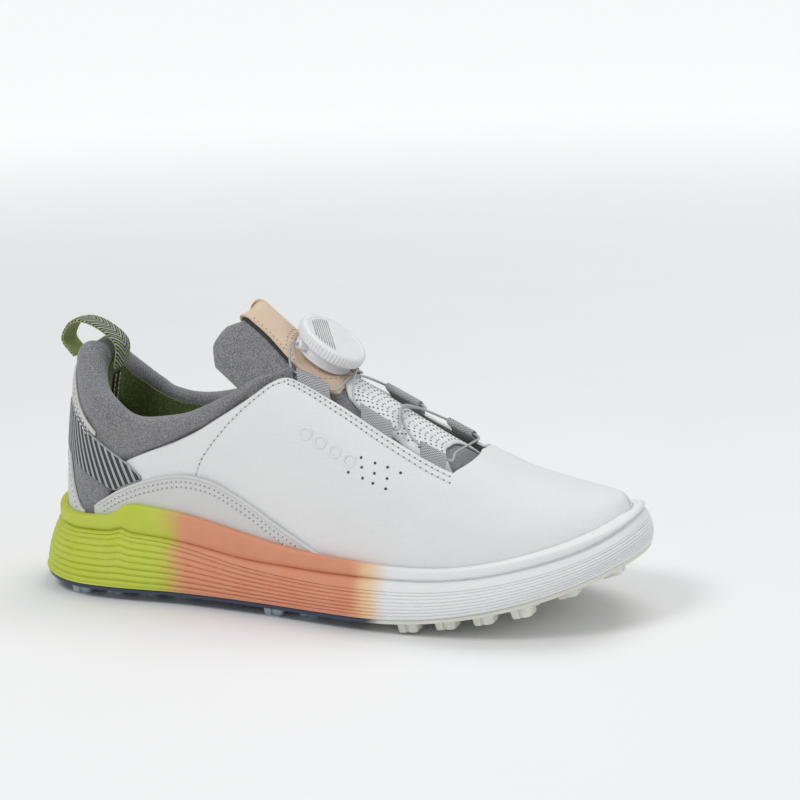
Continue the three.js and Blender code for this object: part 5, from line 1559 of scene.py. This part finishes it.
def port_point(side, out, rise=0.0):
    return on_dial([(PORT_SIDE[0] * out, PORT_SIDE[1] * side * out, PORT_HEIGHT + rise)])[0]


def crossing(v, s, high=LACE_LOW):
    return tongue_face(v, s, high)


def through_guide(number, lateral, downward):
    a, b = GUIDE_SPANS[number]
    places = [a - GUIDE_EXIT, mix(a, b, 0.3), mix(a, b, 0.7), b + GUIDE_EXIT]
    places = places if downward else places[::-1]
    return [on_guide(u, lateral, LACE_IN_FOLD, 0) for u in places]


lace_points = [port_point(-1, CUP_RADIUS + reach) for reach in (1.5, 4, 7)]
lace_points += [port_point(-1, CUP_RADIUS + 10, 0.5)]
lace_points += through_guide(0, True, True) + [crossing(6.85, 1)]
lace_points += through_guide(1, False, True) + [crossing(7.6, 1)]
lace_points += through_guide(2, True, True) + [crossing(8.4, 0.85), crossing(8.42, 1.15)]
lace_points += through_guide(2, False, False) + [crossing(7.6, 1, LACE_HIGH)]
lace_points += through_guide(1, True, False) + [crossing(6.85, 1, LACE_HIGH)]
lace_points += through_guide(0, False, False)
lace_points += [port_point(1, CUP_RADIUS + 10, 0.5)]
lace_points += [port_point(1, CUP_RADIUS + reach) for reach in (7, 4, 1.5)]


def curve_through(points, steps):
    """A smooth curve through the points, drawn evenly between each two."""
    p = np.array(points)
    p = np.concatenate([[2 * p[0] - p[1]], p, [2 * p[-1] - p[-2]]])
    knots = np.concatenate([[0], np.cumsum(np.linalg.norm(np.diff(p, axis=0), axis=1) ** 0.5)])
    found = []
    for k in range(1, len(p) - 2):
        t0, t1, t2, t3 = knots[k - 1:k + 3]
        for t in np.linspace(t1, t2, steps, endpoint=False):
            a1 = mix(p[k - 1], p[k], (t - t0) / (t1 - t0))
            a2 = mix(p[k], p[k + 1], (t - t1) / (t2 - t1))
            a3 = mix(p[k + 1], p[k + 2], (t - t2) / (t3 - t2))
            b1 = mix(a1, a2, (t - t0) / (t2 - t0))
            b2 = mix(a2, a3, (t - t1) / (t3 - t1))
            found.append(mix(b1, b2, (t - t1) / (t2 - t1)))
    return np.array(found + [p[-2]])


def tube(path, radius, sides, strands, pitch, relief_depth):
    """A round cord along a path, with strands that wind round it."""
    steps = np.linalg.norm(np.diff(path, axis=0), axis=1)
    run = np.concatenate([[0], np.cumsum(steps)])
    stops = np.linspace(0, run[-1], int(run[-1] / (radius * 0.5)))
    at = np.stack([np.interp(stops, run, path[:, k]) for k in range(3)], -1)
    along = unit(np.gradient(at, axis=0))
    side = np.cross(along[0], (0.3, 0.2, 1.0))
    sides_at = []
    for a in along:
        side = side - a * np.dot(side, a)
        side = side / np.linalg.norm(side)
        sides_at.append(side)
    side = np.array(sides_at)
    other = np.cross(along, side)
    ring = round_turns(sides)
    winding = strands * ring[None, :] + stops[:, None] / pitch * 2 * math.pi
    girth = radius - relief_depth * (1 - np.abs(np.cos(0.5 * winding)))
    vertices = at[:, None] + (side[:, None] * np.cos(ring)[None, :, None]
                              + other[:, None] * np.sin(ring)[None, :, None]) * girth[..., None]
    cloth = np.stack(np.broadcast_arrays(stops[:, None], ring[None, :] * radius), -1)
    return vertices.reshape(-1, 3), rod_faces(len(at), sides), cloth.reshape(-1, 2)


cord = Finish("lace_cord", {"Coat Roughness": 0.3})
along, over, _ = cord.cloth().axes()
braid = ((along * 5.5 + over * 5.7).wave() * (along * 5.5 - over * 5.7).wave()).rise(-0.3, 0.6)
cord.shade({"Base Color": cord.mix(braid, (0.42, 0.42, 0.43), (0.84, 0.84, 0.85)),
            "Roughness": 0.55 - braid * 0.15,
            "Normal": cord.bump(braid, 0.0002)})
vertices, faces, cloth = tube(curve_through(lace_points, 12), LACE / 2, 12, strands=3, pitch=2.6,
                              relief_depth=0.1)
lace = piece("lace_braid", vertices, faces, cord, "lace_cord", body=None, replaces=["lace"], cloth=cloth,
             sharp=70)
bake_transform(lace)

# ---------------------------------------------------------------- pull loop
# A loop of webbing from the back of the heel over into the shoe: black with slanting grey and lime
# stripes outside, lime twill inside. It is sewn down at both ends.

LOOP_WIDTH, WEBBING = 12, 1.3
heel_out = wall(0, 0.84, 3.4)
heel_top = wall(0, 1, 0)
heel_in = wall(0, 0.86, -HEEL_PAD - LINING - 3)
loop_points = [(heel_out[0], 0, heel_out[2] + 3), (heel_out[0] - 5, 0, heel_out[2] + 9),
               (heel_top[0] - 11, 0, heel_top[2] + 3), (heel_top[0] - 6, 0, heel_top[2] + 10),
               (heel_top[0] + 3, 0, heel_top[2] + 10), (heel_in[0] + 1, 0, heel_top[2] + 1),
               (heel_in[0], 0, heel_in[2] + 2)]
line = curve_through(loop_points, 16)
along_line = unit(np.gradient(line, axis=0))
out_line = np.stack([-along_line[:, 2], np.zeros(len(line)), along_line[:, 0]], -1)
run = np.concatenate([[0], np.cumsum(np.linalg.norm(np.diff(line, axis=0), axis=1))])
widths = np.concatenate([[-0.5, -0.49], np.linspace(-0.46, 0.46, 14), [0.49, 0.5]])
sag = 0.5 * np.cos(widths * math.pi)[None, :, None]


def webbing_layer(high, low):
    grids = []
    for level in (high, low):
        soft = level * (1 - 0.3 * (np.abs(widths) > 0.485))[None, :, None]
        grids.append(line[:, None] + out_line[:, None] * (soft + sag - 0.3)
                     + np.array((0, 1, 0)) * (widths * LOOP_WIDTH)[None, :, None])
    cloth = np.stack(np.broadcast_arrays(run[:, None], widths[None, :] * LOOP_WIDTH), -1).reshape(-1, 2)
    return *sheet(*grids), np.concatenate([cloth, cloth])


striped = Finish("striped_webbing", {"Sheen Weight": 0.15})
along, over, _ = striped.cloth().axes()
phase = ((along + over.size() * 0.9) / 3.6).part()
lime_line = (1 - (phase - 0.25).size() * 9).rise(0.1, 0.6)
grey_line = (1 - (phase - 0.72).size() * 5).rise(0.1, 0.6)
picks = (along * 5).wave() * 0.5 + (over * 6).wave() * 0.5
yarn = striped.grain(striped.place(), 3.5, 3)
body_black = striped.mix(yarn, (0.012, 0.013, 0.012), (0.05, 0.052, 0.05))
with_grey = striped.mix(grey_line, body_black, (0.40, 0.42, 0.40))
striped.shade({"Base Color": striped.mix(lime_line, with_grey, (0.42, 0.50, 0.12)),
               "Roughness": 0.8 + yarn * 0.1,
               "Normal": striped.bump(picks * 0.6 + yarn * 0.4, 0.0003, 0.9)})
twill = Finish("lime_twill", {"Sheen Weight": 0.2})
along, over, _ = twill.cloth().axes()
diagonal = ((along + over) * 4.5).wave()
yarn = twill.grain(twill.place(), 3.5, 3)
pale = diagonal.rise(-0.8, 0.8) * 0.6 + yarn * 0.4
twill.shade({"Base Color": twill.mix(pale, (0.16, 0.22, 0.05), (0.42, 0.52, 0.16)),
             "Roughness": 0.85 + yarn * 0.1,
             "Normal": twill.bump(diagonal * 0.7 + yarn * 0.5, 0.0003, 0.8)})
LAYERS = (("pull_loop_outside", striped, WEBBING / 2, 0.05), ("pull_loop_inside", twill, -0.05, -WEBBING / 2))
for name, finish, high, low in LAYERS:
    vertices, faces, cloth = webbing_layer(high, low)
    layer = piece(name, vertices, faces, finish, "striped_webbing", body=None,
                  replaces=["pull_loop"] if finish is striped else (), cloth=cloth)
    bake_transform(layer)

# ---------------------------------------------------------------- seam tape
# A dark woven tape covers the seam down the inside of the heel, sewn with lime thread on both sides.

tape, _ = flecked("seam_tape", (0.012, 0.013, 0.013), (0.06, 0.062, 0.06), 2.5, 3, 0.0003, (1, 1, 3),
                  Roughness=0.9)
TAPE, TAPE_HALF, TAPE_SEAM, TAPE_SPAN, TAPE_POINTS = 0.8, 0.25, 0.19, (0.5, 0.83), 40
TAPE_OUT = -HEEL_PAD - 2 * GAP - LINING
TAPE_FACE = TAPE_OUT - TAPE     # the side that the foot touches
u = np.linspace(-TAPE_HALF, TAPE_HALF, 14)[:, None]
t = np.linspace(*TAPE_SPAN, TAPE_POINTS)[None, :]
piece("heel_tape", *sheet(wall(u, t, TAPE_OUT), wall(u, t, TAPE_FACE)), tape, "seam_tape",
      replaces=["heel_seam_tape"])
lime_thread, _ = flecked("lime_thread", (0.50, 0.52, 0.16), (0.78, 0.78, 0.38), 5, 2, Roughness=0.6)


def inside_heel(u, t, out):
    """The tape's face, whose way out is into the shoe."""
    return wall(u, t, 2 * TAPE_FACE - out)


for name, side in SIDES:
    seam("tape_seam_" + name, np.full(TAPE_POINTS, TAPE_SEAM * side), np.linspace(*TAPE_SPAN, TAPE_POINTS),
         lift=TAPE_FACE, pitch=2.2, hole=0, surface=inside_heel, colour=lime_thread)

# ---------------------------------------------------------------- size
low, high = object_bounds()
